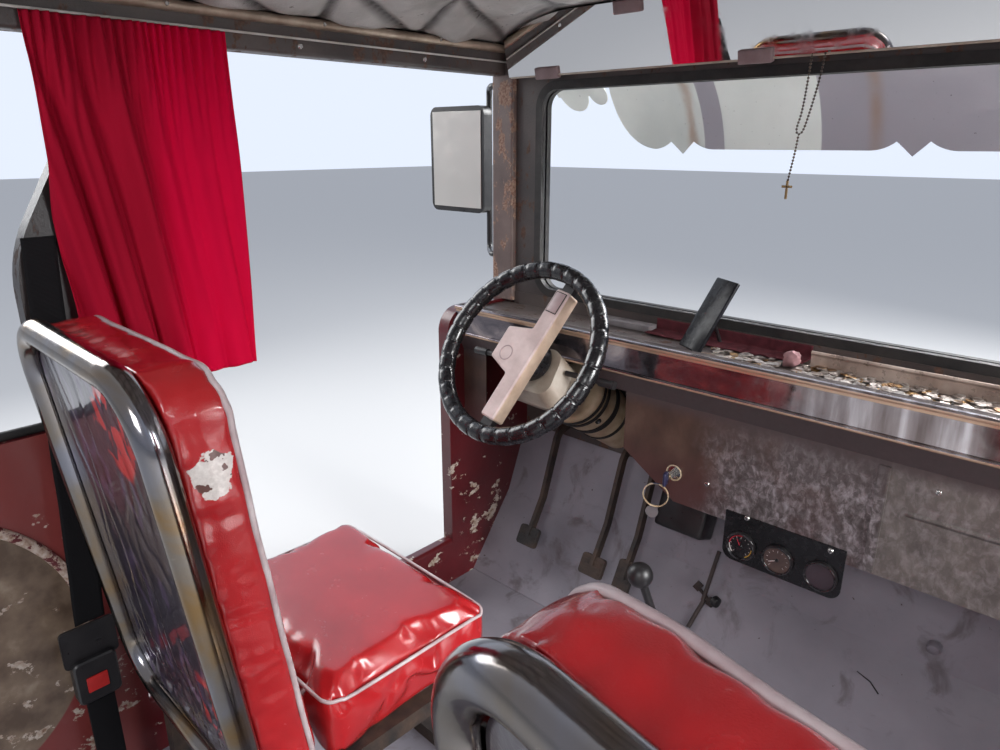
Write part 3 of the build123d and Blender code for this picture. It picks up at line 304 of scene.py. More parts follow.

# %% [markdown]
# ## Zinc panel
# The sheet under the band is galvanised. Zinc freezes in crystals, which show as blots of light and dark
# grey, and here the left end has rusted brown, and the right end is cleaner. A cell pattern and a noise make
# the blots, and the distance across the cab picks rust, zinc or clean grey. Towards the top the zinc is
# darkened as painted shade under the band, darkest in a strip along its top edge. A level crease is pressed
# in at the right.

# %% Zinc panel
zinc = finish("zinc_panel", (95, 86, 86), 0.5, 0.25)
crystals = add(zinc, "TexVoronoi", {"Vector": places(zinc), "Scale": 95.0, "Randomness": 1.0}, feature="F1")
crystal_grey = add(zinc, "RGBToBW", {0: crystals.outputs["Color"]}).outputs[0]
cloudy = times(zinc, grain(zinc, 0.013, 8, (1, 1, 0.6), 0.66, 0.5), 0.85)
blots = plus(zinc, times(zinc, crystal_grey, 0.14), cloudy)
zinc_grey = steps(
    zinc, blots, (0.36, (74, 67, 66)), (0.47, (100, 93, 93)), (0.56, (134, 127, 129)), (0.70, (170, 165, 168))
)
plain_grey = steps(zinc, grain(zinc, 0.05, 6), (0.35, (100, 95, 90)), (0.7, (126, 120, 113)))
plain_grey = blend(zinc, 0.4, plain_grey, zinc_grey)
rust = steps(
    zinc, grain(zinc, 0.06, 7, (1, 1, 0.6)), (0.3, (66, 50, 44)), (0.55, (86, 66, 56)), (0.75, (104, 82, 70))
)
reddish = blend(zinc, ramp(zinc, axis(zinc, "Z"), 0.66, 0.54), rust, (88, 58, 56))
drifts = times(zinc, ramp(zinc, grain(zinc, 0.12, 4), 0.5, 0.62), 0.3)
left_share = plus(zinc, ramp(zinc, axis(zinc, "X"), -0.04, -0.15), drifts)
left_share.node.use_clamp = True
# Painted shade under the band: the zinc grey darkens towards the top.
zinc_grey = blend(zinc, times(zinc, ramp(zinc, axis(zinc, "Z"), 0.63, 0.72), 0.75), zinc_grey, (82, 74, 73))
zinc_colour = blend(zinc, left_share, zinc_grey, reddish)
zinc_colour = blend(zinc, ramp(zinc, axis(zinc, "X"), 0.222, 0.228), zinc_colour, plain_grey)
# Painted shade under the band: a darker strip along the top edge.
zinc_colour = blend(zinc, ramp(zinc, axis(zinc, "Z"), 0.70, 0.735), zinc_colour, (80, 70, 70))
crease = amount(zinc, plus(zinc, axis(zinc, "Z"), -0.646))
crease = times(zinc, ramp(zinc, crease, 0.006, 0.001), ramp(zinc, axis(zinc, "X"), 0.255, 0.27))
uneven = plus(zinc, grain(zinc, 0.25, 1), times(zinc, grain(zinc, 0.01, 4), 0.05))
wire_up(
    zinc,
    colour=zinc_colour,
    roughness=steps(zinc, blots, (0.3, 0.58), (0.7, 0.4)),
    height=plus(zinc, uneven, times(zinc, crease, 0.5)),
    lift=0.006,
)
roof_zinc = finish("roof_zinc", (150, 150, 150), 0.5, 0.5)
roof_blots = grain(roof_zinc, 0.03, 6, distortion=1.0)
wire_up(
    roof_zinc,
    colour=steps(
        roof_zinc, roof_blots, (0.35, (132, 130, 130)), (0.5, (156, 156, 158)), (0.68, (180, 180, 184))
    ),
    roughness=steps(roof_zinc, roof_blots, (0.3, 0.6), (0.7, 0.38)),
    height=grain(roof_zinc, 0.15, 2),
    lift=0.003,
)
print("zinc panel, rusted at its left end")

# %% [markdown]
# ## Painted steel
# The bars and rails are brush-painted brown-black and rust comes through in flakes. The front posts are
# browner and the door posts darker, so one function makes all three paints from their tones. The side walls
# are maroon, and low down the paint has peeled to an off-white undercoat. Peeling reads best when one ragged
# noise decides paint or undercoat, and a second noise spots the bare part with rust. Inside the wheel housing
# the wall shows brown primer; the distance from the housing's middle decides where.
# The inner faces of the side walls towards the rear are painted lighter, as painted light.

# %% Painted steel
def brushed_paint(name, dark, light, rust_dark, rust_light, bare):
    """Brush paint between two tones, flaked down to rust wherever the flake noise passes bare."""
    paint = finish(name, dark, 0.42)
    flakes = ramp(paint, grain(paint, 0.035, 8, (1, 1, 0.6), 0.68), bare, bare + 0.04)
    rusty = steps(paint, grain(paint, 0.006, 4), (0.35, rust_dark), (0.7, rust_light))
    brushed = steps(paint, grain(paint, 0.15, 5), (0.3, dark), (0.7, light))
    wire_up(
        paint,
        colour=blend(paint, flakes, brushed, rusty),
        roughness=steps(paint, flakes, (0, 0.38), (1, 0.85)),
        height=plus(paint, times(paint, flakes, -0.6), grain(paint, 0.005, 4)),
        lift=0.0006,
    )
    return paint


dark_paint = brushed_paint("dark_paint", (56, 50, 49), (86, 76, 72), (70, 50, 42), (100, 74, 60), 0.56)
post_paint = brushed_paint("post_paint", (80, 66, 63), (122, 104, 98), (112, 76, 62), (172, 146, 128), 0.53)
door_post_paint = brushed_paint(
    "door_post_paint", (30, 26, 26), (50, 43, 42), (52, 38, 33), (72, 54, 45), 0.58
)
maroon_paint = finish("maroon_paint", (96, 26, 32), 0.3, Coat_Weight=0.4, Coat_Roughness=0.15)
low_down = ramp(maroon_paint, axis(maroon_paint, "Z"), 0.72, 0.30)
peel_noise = plus(
    maroon_paint, grain(maroon_paint, 0.06, 9, (1, 1, 1.4), 0.66), times(maroon_paint, low_down, 0.07)
)
peeled = ramp(maroon_paint, peel_noise, 0.655, 0.665)
undercoat = steps(
    maroon_paint,
    grain(maroon_paint, 0.012, 6),
    (0.4, (188, 176, 164)),
    (0.62, (150, 128, 112)),
    (0.75, (104, 66, 46)),
)
red_brown = steps(maroon_paint, grain(maroon_paint, 0.2, 5), (0.3, (70, 17, 21)), (0.7, (96, 26, 31)))
inner_x = amount(maroon_paint, axis(maroon_paint, "X"))
rear_inside = times(
    maroon_paint,
    ramp(maroon_paint, inner_x, 0.803, 0.801),
    ramp(maroon_paint, axis(maroon_paint, "Y"), -0.44, -0.50),
)
# Painted light: the inner faces of the walls towards the rear are painted lighter.
painted_light_wall = blend(maroon_paint, times(maroon_paint, rear_inside, 0.7), red_brown, (132, 62, 58))
ARCH_Y, ARCH_Z, ARCH_R = -0.800, 0.430, 0.270  # the wheel housing seen from the side
from_arch = places(maroon_paint, (0, 1, 1), shift=(0, -ARCH_Y, -ARCH_Z))
from_arch = add(maroon_paint, "VectorMath", {0: from_arch}, operation="LENGTH").outputs["Value"]
housing = times(maroon_paint, rear_inside, ramp(maroon_paint, from_arch, ARCH_R + 0.002, ARCH_R - 0.002))
brown_primer = steps(
    maroon_paint,
    grain(maroon_paint, 0.06, 6),
    (0.35, (88, 72, 60)),
    (0.58, (122, 104, 88)),
    (0.72, (152, 138, 120)),
)
wall = blend(maroon_paint, housing, painted_light_wall, brown_primer)
wire_up(
    maroon_paint,
    colour=blend(maroon_paint, peeled, wall, undercoat),
    roughness=steps(maroon_paint, peeled, (0, 0.28), (1, 0.8)),
    height=plus(
        maroon_paint,
        times(maroon_paint, peeled, -0.7),
        times(maroon_paint, grain(maroon_paint, 0.03, 2), 0.5),
    ),
    lift=0.0009,
)
print("paint:", dark_paint.name, post_paint.name, door_post_paint.name, maroon_paint.name)

# %% [markdown]
# ## Floor paint
# The floor and the toe board are painted a pale lilac grey. Feet have left brown stains, dark scuffs, and
# chips that show primer. Three noises at three sizes carry the three kinds of dirt.

# %% Floor paint
floor_paint = finish("floor_paint", (150, 148, 158), 0.5)
clean_grey = steps(floor_paint, grain(floor_paint, 0.30, 6), (0.3, (118, 114, 122)), (0.7, (146, 141, 149)))
stains = ramp(floor_paint, grain(floor_paint, 0.10, 8, (1, 1, 1), 0.62, 0.8), 0.52, 0.70)
dirty = blend(floor_paint, times(floor_paint, stains, 0.7), clean_grey, (88, 78, 80))
scuffs = ramp(floor_paint, grain(floor_paint, 0.012, 5, (1, 0.25, 1), 0.7, 0.4, (0, 0, 0.6)), 0.66, 0.72)
scuffed = blend(floor_paint, times(floor_paint, scuffs, 0.25), dirty, (62, 56, 60))
chips = ramp(floor_paint, grain(floor_paint, 0.008, 3), 0.735, 0.75)
wire_up(
    floor_paint,
    colour=blend(floor_paint, chips, scuffed, (62, 48, 42)),
    roughness=steps(floor_paint, stains, (0, 0.42), (1, 0.68)),
    height=plus(floor_paint, grain(floor_paint, 0.08, 3), times(floor_paint, chips, -0.4)),
    lift=0.0015,
)
print("floor paint with stains, scuffs and chips")

# %% [markdown]
# ## Rubber, moulded plastic and glass
# Small parts share a few moulded finishes. Moulded plastic has a fine even pebble, rubber is duller and
# dusty, and the covers round the steering column have yellowed with age, in wide blots.


# %% Mouldings
def moulded(name, colour, worn, roughness, pebble=0.0012, lift=0.00012, **sockets):
    """Plastic or rubber: two near colours in wide blots, over a fine pebble."""
    material = finish(name, colour, roughness, **sockets)
    blots_here = grain(material, 0.05, 6)
    wire_up(
        material,
        colour=steps(material, blots_here, (0.35, colour), (0.68, worn)),
        roughness=steps(
            material, grain(material, 0.015, 5), (0.3, max(0.02, roughness - 0.07)), (0.7, roughness + 0.12)
        ),
        height=grain(material, pebble, 3),
        lift=lift,
    )
    return material


black_plastic = moulded("black_plastic", (24, 23, 25), (38, 36, 37), 0.34)
black_rubber = moulded("black_rubber", (22, 21, 21), (44, 40, 38), 0.62)
black_gloss = moulded("black_gloss", (14, 14, 16), (24, 23, 26), 0.22, Coat_Weight=0.25, Coat_Roughness=0.1)
beige_plastic = moulded("beige_plastic", (160, 148, 134), (130, 116, 102), 0.42)
cover_plastic = moulded("cover_plastic", (192, 172, 144), (158, 134, 106), 0.45)
mauve_plastic = moulded("mauve_plastic", (176, 156, 156), (150, 130, 130), 0.36)
pad_plastic = finish("pad_plastic", (176, 156, 156), 0.4)
WHEEL = Matrix(((1, 0, 0, -0.497), (0, 0.57928, -0.81513, 0.296), (0, 0.81513, 0.57928, 0.811), (0, 0, 0, 1)))
WHEEL_AXIS = WHEEL.col[2].xyz
sockets = {0: add(pad_plastic, "TexCoord").outputs["Object"], 1: WHEEL_AXIS}
height_on_axis = add(pad_plastic, "VectorMath", sockets, operation="DOT_PRODUCT").outputs["Value"]
top_z = WHEEL.translation.dot(WHEEL_AXIS) + 0.006
pad_top = steps(pad_plastic, grain(pad_plastic, 0.04, 6), (0.35, (208, 190, 186)), (0.68, (182, 162, 158)))
pad_side = steps(pad_plastic, grain(pad_plastic, 0.04, 6), (0.35, (216, 192, 170)), (0.68, (186, 160, 138)))
wire_up(
    pad_plastic,
    colour=blend(
        pad_plastic, ramp(pad_plastic, height_on_axis, top_z - 0.0045, top_z - 0.0025), pad_side, pad_top
    ),
    height=grain(pad_plastic, 0.0012, 3),
    lift=0.00012,
)
chassis_black = moulded("chassis_black", (30, 27, 26), (66, 50, 40), 0.6, 0.006, 0.0006)
white_steel = moulded("white_steel", (206, 204, 200), (176, 170, 160), 0.4)
screen_glass = finish("screen_glass", (1, 1, 1, 1), 0.0, Transmission_Weight=1.0, IOR=1.02)
slab_glass = moulded("slab_glass", (16, 16, 19), (34, 34, 40), 0.22, 0.02, 0.0002, Specular_IOR_Level=0.12)
mirror_glass = finish("mirror_glass", (236, 234, 232), 0.02, 1.0)
wire_up(mirror_glass, roughness=steps(mirror_glass, grain(mirror_glass, 0.03, 8), (0.5, 0.015), (0.8, 0.12)))
door_mirror = finish("door_mirror", (226, 222, 214), 0.12, 0.45)
wire_up(
    door_mirror,
    roughness=steps(door_mirror, grain(door_mirror, 0.03, 6), (0.4, 0.08), (0.7, 0.2)),
    height=grain(door_mirror, 0.1, 1),
    lift=0.001,
)
chrome = finish("chrome", (214, 212, 208), 0.12, 1.0)
wire_up(
    chrome,
    roughness=steps(chrome, grain(chrome, 0.006, 5), (0.3, 0.06), (0.7, 0.3)),
    height=grain(chrome, 0.02, 2),
    lift=0.0002,
)
print("mouldings, glass and chrome")

# %% [markdown]
# ## Vinyl and cloth
# Seat vinyl is red, glossy and stretched, with a fine leather grain that dulls its shine a little. Where it
# has torn, the distance from one place with a ragged edge shows the pale backing. The curtain is crimson
# cloth with a visible weave: two wave patterns that cross. The belt's webbing has ribs, which one wave
# pattern gives.
# The curtain's rear part is painted darker as painted shade and its front part brighter as painted light, by
# the distance along the cab.

# %% Vinyl and cloth
red_vinyl = finish("red_vinyl", (166, 16, 26), 0.24, Coat_Weight=0.6, Coat_Roughness=0.09)
red_tone = steps(red_vinyl, grain(red_vinyl, 0.12, 5), (0.3, (150, 22, 26)), (0.7, (174, 32, 36)))
TEAR = (-0.250, -0.490, 0.871)  # the driver's pad has lost its top layer here


def spot(material, place, inner, outer, ragged):
    """1 within inner metres of a place and 0 past outer; noise moves the edge by ragged metres."""
    where = add(material, "TexCoord").outputs["Object"]
    away = add(material, "VectorMath", {0: where, 1: place}, operation="DISTANCE").outputs["Value"]
    centred = plus(material, grain(material, 0.05, 5), -0.5)
    push = add(material, "Math", {0: centred, 1: ragged}, operation="MULTIPLY").outputs[0]
    return ramp(material, plus(material, away, push), outer, inner)


torn = spot(red_vinyl, TEAR, 0.034, 0.0355, 0.07)
backing = steps(red_vinyl, grain(red_vinyl, 0.006, 5), (0.35, (196, 188, 182)), (0.7, (222, 216, 210)))
holes = ramp(red_vinyl, grain(red_vinyl, 0.020, 3), 0.60, 0.615)
backing = blend(red_vinyl, holes, backing, (92, 60, 54))
scuff_white = ramp(red_vinyl, grain(red_vinyl, 0.02, 8, (1, 1, 0.4), 0.72), 0.66, 0.74)
worn_red = blend(red_vinyl, times(red_vinyl, scuff_white, 0.3), red_tone, (190, 120, 122))
wire_up(
    red_vinyl,
    colour=blend(red_vinyl, torn, worn_red, backing),
    roughness=plus(
        red_vinyl,
        times(red_vinyl, torn, 0.5),
        steps(red_vinyl, grain(red_vinyl, 0.03, 6), (0.3, 0.13), (0.72, 0.3)),
    ),
    height=plus(red_vinyl, grain(red_vinyl, 0.0016, 2), times(red_vinyl, torn, -3.0)),
    lift=0.0003,
)
piping_vinyl = moulded("piping_vinyl", (196, 186, 186), (164, 140, 142), 0.4)
crimson_cloth = finish("crimson_cloth", (190, 5, 52), 0.85, Specular_IOR_Level=0.08)
threads = []
for direction in "ZY":
    sockets = {"Vector": places(crimson_cloth), "Scale": 220.0, "Distortion": 0.6, "Detail": 1.0}
    threads.append(add(crimson_cloth, "TexWave", sockets, bands_direction=direction).outputs["Fac"])
weave = times(crimson_cloth, threads[0], threads[1])
# Painted shade on the rear part and painted light on the front part, chosen by the distance along the cab.
painted_shade_red = steps(
    crimson_cloth, grain(crimson_cloth, 0.2, 4, (1, 1, 0.3)), (0.3, (146, 12, 38)), (0.7, (172, 18, 48))
)
painted_lit_red = steps(
    crimson_cloth, grain(crimson_cloth, 0.2, 4, (1, 1, 0.3)), (0.3, (190, 3, 50)), (0.7, (212, 5, 60))
)
cloth_red = blend(
    crimson_cloth, ramp(crimson_cloth, axis(crimson_cloth, "Y"), -0.335, -0.27), painted_shade_red, painted_lit_red
)
wire_up(
    crimson_cloth,
    colour=blend(crimson_cloth, times(crimson_cloth, weave, 0.12), cloth_red, (206, 30, 62)),
    height=weave,
    lift=0.0004,
)
maroon_cloth = finish("maroon_cloth_finish", (70, 24, 28), 0.95, Specular_IOR_Level=0.1)
wire_up(
    maroon_cloth,
    colour=steps(maroon_cloth, grain(maroon_cloth, 0.02, 6), (0.3, (60, 30, 34)), (0.7, (86, 40, 46))),
    height=grain(maroon_cloth, 0.0015, 4),
    lift=0.0006,
)
black_webbing = finish("black_webbing", (16, 15, 18), 0.8, Specular_IOR_Level=0.2)
sockets = {"Vector": places(black_webbing), "Scale": 160.0, "Distortion": 0.3}
ribs = add(black_webbing, "TexWave", sockets, bands_direction="Z").outputs["Fac"]
wire_up(
    black_webbing,
    colour=steps(black_webbing, ribs, (0.2, (10, 9, 11)), (0.8, (22, 21, 24))),
    height=ribs,
    lift=0.0005,
)
print("vinyl, cloth and webbing")

# %% [markdown]
# ## Quilted ceiling
# The ceiling is silver-grey vinyl, sewn to its wadding along two runs of seams, one steep and one nearly
# straight across, which mirror at the middle. The colour darkens along the seams as painted shade in their
# creases, along the same lines that the shape is drawn in by. Both read one table of the two runs, so they
# can't drift apart.

# %% Ceiling vinyl
SEAM_RUNS = (  # slope from across to along, metres between seams, and the place of one
    (1.88, 0.310, -1.215),
    (0.20, 0.2525, -0.115),
)
ceiling_vinyl = finish("ceiling_vinyl", (150, 147, 146), 0.34, 0.15)
along_x, along_y = axis(ceiling_vinyl, "X"), axis(ceiling_vinyl, "Y")
from_middle = amount(ceiling_vinyl, along_x)
seam_lines = []
for slope, between, first in SEAM_RUNS:
    sockets = {0: from_middle, 1: -slope, 2: along_y}
    crossing = add(ceiling_vinyl, "Math", sockets, operation="MULTIPLY_ADD").outputs[0]
    crossing = plus(ceiling_vinyl, crossing, -first)
    aside = add(ceiling_vinyl, "Math", {0: crossing, 1: between / 2}, operation="PINGPONG").outputs[0]
    seam_lines.append(ramp(ceiling_vinyl, aside, 0.020 * math.hypot(1, slope), 0.0))
# Painted shade in the creases along the seams.
seams = larger(ceiling_vinyl, seam_lines[0], seam_lines[1])
ceiling_grey = steps(
    ceiling_vinyl, grain(ceiling_vinyl, 0.16, 6), (0.3, (140, 136, 132)), (0.7, (192, 188, 184))
)
wire_up(
    ceiling_vinyl,
    colour=blend(ceiling_vinyl, times(ceiling_vinyl, seams, 0.85), ceiling_grey, (52, 45, 43)),
    roughness=steps(ceiling_vinyl, grain(ceiling_vinyl, 0.03, 6), (0.3, 0.26), (0.7, 0.46)),
    height=plus(
        ceiling_vinyl,
        grain(ceiling_vinyl, 0.0025, 3),
        grain(ceiling_vinyl, 0.03, 3, distortion=1.0),
    ),
    lift=0.0012,
)
print("seams in", len(SEAM_RUNS), "directions")

# %% [markdown]
# ## Visor
# The sun visor outside the glass is a milky plastic sheet. It glows where the sun is behind it. A narrow
# strip and a broad one are tinted darker, and rain has run down it in two brown streaks. The distance across
# the cab places the strips and the streaks, and a stretched noise makes the rain uneven.

# %% Visor plastic
visor_plastic = finish("visor_plastic", (196, 194, 190), 0.4, Transmission_Weight=0.5, IOR=1.3)
across_visor = axis(visor_plastic, "X")
milk = steps(
    visor_plastic, grain(visor_plastic, 0.25, 5, (1, 1, 0.4)), (0.3, (214, 216, 210)), (0.7, (240, 240, 234))
)


def strip(left, right):
    """1 between two places across the visor, with sharp sides."""
    inside = ramp(visor_plastic, across_visor, left - 0.001, left + 0.001)
    return times(visor_plastic, inside, ramp(visor_plastic, across_visor, right + 0.001, right - 0.001))


tinted = larger(visor_plastic, strip(-0.385, -0.335), strip(-0.110, 0.520))
shaded = blend(visor_plastic, times(visor_plastic, tinted, 0.8), milk, (168, 160, 168))
rain = []
for streak_x, half, waver in ((-0.415, 0.020, 0.03), (0.0, 0.022, 0.0)):
    sockets = {0: grain(visor_plastic, 0.04, 5, (1, 1, 0.5)), 1: waver, 2: -waver / 2 - streak_x}
    wobble = add(visor_plastic, "Math", sockets, operation="MULTIPLY_ADD").outputs[0]
    from_line = amount(visor_plastic, plus(visor_plastic, across_visor, wobble))
    rain.append(ramp(visor_plastic, from_line, half, 0.0))
uneven_rain = steps(visor_plastic, grain(visor_plastic, 0.05, 6, (1, 1, 0.3)), (0.3, 0.35), (0.65, 0.9))
rain_here = times(visor_plastic, larger(visor_plastic, rain[0], rain[1]), uneven_rain)
specks = ramp(visor_plastic, grain(visor_plastic, 0.006, 2), 0.74, 0.77)
stained = blend(visor_plastic, times(visor_plastic, rain_here, 0.8), shaded, (176, 146, 122))
wire_up(
    visor_plastic,
    colour=blend(visor_plastic, specks, stained, (84, 74, 72)),
    roughness=steps(visor_plastic, grain(visor_plastic, 0.03, 5), (0.3, 0.3), (0.7, 0.52)),
    height=grain(visor_plastic, 0.06, 3),
    lift=0.002,
)
print("visor plastic with", len(rain), "rain streaks")

# %% [markdown]
# ## Printed boards
# Each seat loop holds a board with a printed sheet under clear vinyl. The print here is a made-up pattern of
# soft dark shapes with red ones between them, in the colours and at the size of what is behind such vinyl.
# The vinyl itself is the shader's coat, and its creases come from the sheet's own shape.

# %% Printed board
board_print = finish("board_print", (40, 30, 42), 0.3, Coat_Weight=1.0, Coat_Roughness=0.05)
shape_places = places(board_print, (1, 1, 0.55), (0.3, 0, 0.2))
shape_sockets = {"Vector": shape_places, "Scale": 12.0, "Randomness": 0.9}
shapes = add(
    board_print,
    "TexVoronoi",
    shape_sockets,
    feature="SMOOTH_F1",
    distance="MANHATTAN",
).outputs["Distance"]
ground = steps(board_print, shapes, (0.28, (34, 26, 40)), (0.42, (84, 66, 96)), (0.54, (42, 34, 50)))
swirl = grain(board_print, 0.055, 3, (1, 1, 0.75), 0.5, 1.2)
RED_SHAPES = ((-0.430, -0.568, 0.888), (0.600, -0.620, 0.860), (-0.370, -0.500, 0.470))
near_red = spot(board_print, RED_SHAPES[0], 0.060, 0.072, 0.05)
for red_place in RED_SHAPES[1:]:
    near_red = larger(board_print, near_red, spot(board_print, red_place, 0.035, 0.06, 0.10))
near_red = times(board_print, near_red, ramp(board_print, swirl, 0.47, 0.50))
pale_line = amount(board_print, plus(board_print, swirl, -0.5))
pale_line = times(board_print, ramp(board_print, pale_line, 0.007, 0.003), 0.35)
printed = blend(board_print, near_red, ground, (206, 44, 44))
wire_up(
    board_print,
    colour=blend(board_print, pale_line, printed, (120, 112, 136)),
    height=grain(board_print, 0.02, 5, distortion=1.2),
    lift=0.0008,
)
print("board print")

# %% [markdown]
# ## Finishes on the solids
# Every solid of the frame gets a finish through its material slots. Soft solids and those that need a richer
# shape are replaced further down, so they are not in this table.

# %% Finishes on the solids
NODE_FINISHES = {
    chassis_black: ("floor_frame", "driver_seat_base", "passenger_seat_base", "pedals", "roof_bows"),
    floor_paint: ("floor_panel", "toe_board"),
    dark_paint: ("firewall", "cowl_top", "windscreen_bars", "roof_header", "roof_rails", "dash_tray"),
    door_post_paint: ("rear_posts",),
    post_paint: ("front_pillars",),
    maroon_paint: ("cowl_sides", "side_panels", "door_sills"),
    zinc: ("dash_panel", "panel_seam"),
    roof_zinc: ("roof_skin",),
    band_steel: ("dash_band",),
    guard_bronze: ("tray_guard",),
    tube_steel: ("driver_back_loop", "passenger_back_loop"),
    mirror_glass: ("header_mirror",),
    visor_plastic: ("front_visor",),
    black_rubber: ("windscreen_seal", "gear_boot"),
    screen_glass: ("windscreen_glass",),
    black_gloss: ("gauge_bracket",),
    black_plastic: (
        "gauges",
        "column_stalks",
        "steering_column",
        "steering_wheel",
        "gear_lever",
        "belt_buckle",
        "mirror_heads",
        "mirror_arms",
    ),
    chrome: ("ignition_switch",),
    beige_plastic: ("column_shroud",),
    cover_plastic: ("column_cover",),
    pad_plastic: ("horn_pad",),
    white_steel: ("curtain_wires",),
}
for material, names in NODE_FINISHES.items():
    for name in names:
        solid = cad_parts[name]
        if not solid.material_slots:
            solid.data.materials.append(material)
        for material_slot in solid.material_slots:
            material_slot.material = material
print(sum(len(names) for names in NODE_FINISHES.values()), "solids finished")

# %% [markdown]
# ## Helpers for shapes
# A shape starts as a bmesh. One helper makes a block with rounded edges, one a disc or rod between two
# points, one a bent bar, and one turns the finished bmesh into an object that rides on a body, with its faces
# outwards. Objects stay at the origin, because the place is in the mesh. A sheet is a grid of no thickness,
# and the last helper gives it one by a modifier, which leaves the grid easy to bend.


# %% Shape helpers
def show(name, form, *materials, body="cab", smooth=40.0, outward=True):
    """Makes the object of a finished bmesh, turns its faces outwards and lets it ride on a body."""
    if outward:
        bmesh.ops.recalc_face_normals(form, faces=form.faces)
    mesh = bpy.data.meshes.new(name)
    form.to_mesh(mesh)
    form.free()
    for material in materials:
        mesh.materials.append(material)
    mesh.shade_smooth()
    if smooth:
        mesh.set_sharp_from_angle(angle=math.radians(smooth))
    piece = bpy.data.objects.new(name, mesh)
    bpy.context.scene.collection.objects.link(piece)
    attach(piece, body)
    return piece


def swung(degrees, letter):
    """A matrix that turns about one axis."""
    return Matrix.Rotation(math.radians(degrees), 4, letter)


def sized(middle, size):
    """A matrix that puts a shape of size 1 in its place and gives it its size."""
    return Matrix.Translation(middle) @ Matrix.Diagonal((*size, 1))


def edges_of(points):
    """The edges that meet these points, each once and always in the same order."""
    return list(dict.fromkeys(edge for point in points for edge in point.link_edges))


def round_edges(form, edges, offset, segments):
    """Bevels these edges to round ones."""
    return bmesh.ops.bevel(
        form,
        geom=edges,
        offset=offset,
        segments=segments,
        profile=0.5,
        affect="EDGES",
        material=-1,
    )


def paint_faces(points, material):
    """Gives the faces that meet these points a material's number."""
    for point in points:
        for face in point.link_faces:
            face.material_index = material


def block(form, size, place=Matrix.Identity(4), rounding=0.001, segments=2, material=0):
    """A block of this size with rounded edges, put in place by a matrix."""
    points = bmesh.ops.create_cube(form, size=1.0, matrix=place @ Matrix.Diagonal((*size, 1)))["verts"]
    made = round_edges(form, edges_of(points), rounding, segments)
    paint_faces(made["verts"], material)


def rod(form, start, end, radius, tip_radius=None, sides=20, rounding=0.0, material=0):
    """A round rod or cone between two points, with its ends rounded if asked."""
    start, end = Vector(start), Vector(end)
    turned = (end - start).to_track_quat("Z", "Y").to_matrix().to_4x4()
    place = Matrix.Translation((start + end) / 2) @ turned
    tip_radius = radius if tip_radius is None else tip_radius
    points = bmesh.ops.create_cone(
        form,
        cap_ends=True,
        segments=sides,
        radius1=radius,
        radius2=tip_radius,
        depth=(end - start).length,
        matrix=place,
    )["verts"]
    paint_faces(points, material)
    if rounding:
        ends = dict.fromkeys(face for point in points for face in point.link_faces if len(face.verts) > 4)
        rims = list(dict.fromkeys(edge for face in ends for edge in face.edges))
        round_edges(form, rims, rounding, 3)


def ring(form, place, radius, tube, sides=12, steps_round=64, sweep=360.0, material=0):
    """A round bar bent to a circle about the Z axis of a matrix, or to part of one."""
    profile_place = place @ Matrix.Translation((radius, 0, 0)) @ swung(90, "X")
    points = bmesh.ops.create_circle(form, segments=sides, radius=tube, matrix=profile_place)["verts"]
    bmesh.ops.spin(
        form,
        geom=points + edges_of(points),
        cent=place.translation,
        axis=place.to_3x3() @ Vector((0, 0, 1)),
        angle=math.radians(sweep),
        steps=steps_round,
        use_merge=sweep >= 360.0,
    )
    bmesh.ops.remove_doubles(form, verts=form.verts, dist=1e-6)


def standing(x, y, z, turn_x=0.0, turn_y=0.0, turn_z=0.0):
    """A matrix from a place and three turns in degrees."""
    turned = swung(turn_z, "Z") @ swung(turn_y, "Y")
    return Matrix.Translation((x, y, z)) @ turned @ swung(turn_x, "X")


def thicken(piece, thickness, offset=0):
    """Gives a sheet its thickness, evenly to both sides unless an offset is given."""
    wall = piece.modifiers.new("thickness", "SOLIDIFY")
    wall.thickness = thickness
    wall.offset = offset


print("shape helpers ready")

# %% [markdown]
# ## Stage
# The cab stands on a plain pale floor. It is one large square, just below the chassis.

# %% Stage
stage_form = bmesh.new()
bmesh.ops.create_grid(
    stage_form,
    x_segments=1,
    y_segments=1,
    size=30,
    matrix=Matrix.Translation((0, 0, -0.002)),
)
stage_mesh = bpy.data.meshes.new("stage_floor")
stage_form.to_mesh(stage_mesh)
stage_form.free()
stage_mesh.materials.append(finish("stage_paint", (0.50, 0.50, 0.495, 1), 0.9))
stage_floor = bpy.data.objects.new("stage_floor", stage_mesh)
bpy.context.scene.collection.objects.link(stage_floor)
stage_floor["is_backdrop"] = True

# %% [markdown]
# ## Seat pads
# Each seat has a back pad before its steel loop and a cushion on its frame, both red vinyl over foam. A
# stuffed pad swells between its seams. A block with rounded corners is remeshed to small even squares, and
# Blender's Cloth blows it up with pressure. No point may move further than a cap, and no point may pass the
# flat faces that rest on the loop or the frame. The rear seam is pinched, so afterwards the points near it
# are drawn in by a wrinkled depth.

# %% Seat frames
SEATS = (  # name, x, y, degrees turned to the right
    ("driver", -0.500, -0.482, 1.3),
    ("passenger", 0.473, -0.561, 10.0),
)
LOOP_LEAN = math.radians(6.6)
PAD_WIDTH, PAD_THICK, PAD_CORNER = 0.500, 0.078, 0.075
PAD_LOW, PAD_EDGE, PAD_CROWN = 0.345, 0.994, 0.036
BASE_TOP = 0.3303
SQUARE, SWELL_FRAMES = 0.0075, 20
SWELL_CAP = {"back_cushion": 0.016, "seat_cushion": 0.022}


def pad_rear(z):
    """How far forward the back pad's rear face is at a height, in a seat's own frame."""
    return -(z - 0.330) * math.tan(LOOP_LEAN) + 0.0193 / math.cos(LOOP_LEAN)


def seat_matrix(x, y, turn):
    """From a seat's own frame, right, forward and up, to the cab's."""
    return Matrix.Translation((x, y, 0)) @ swung(-turn, "Z")


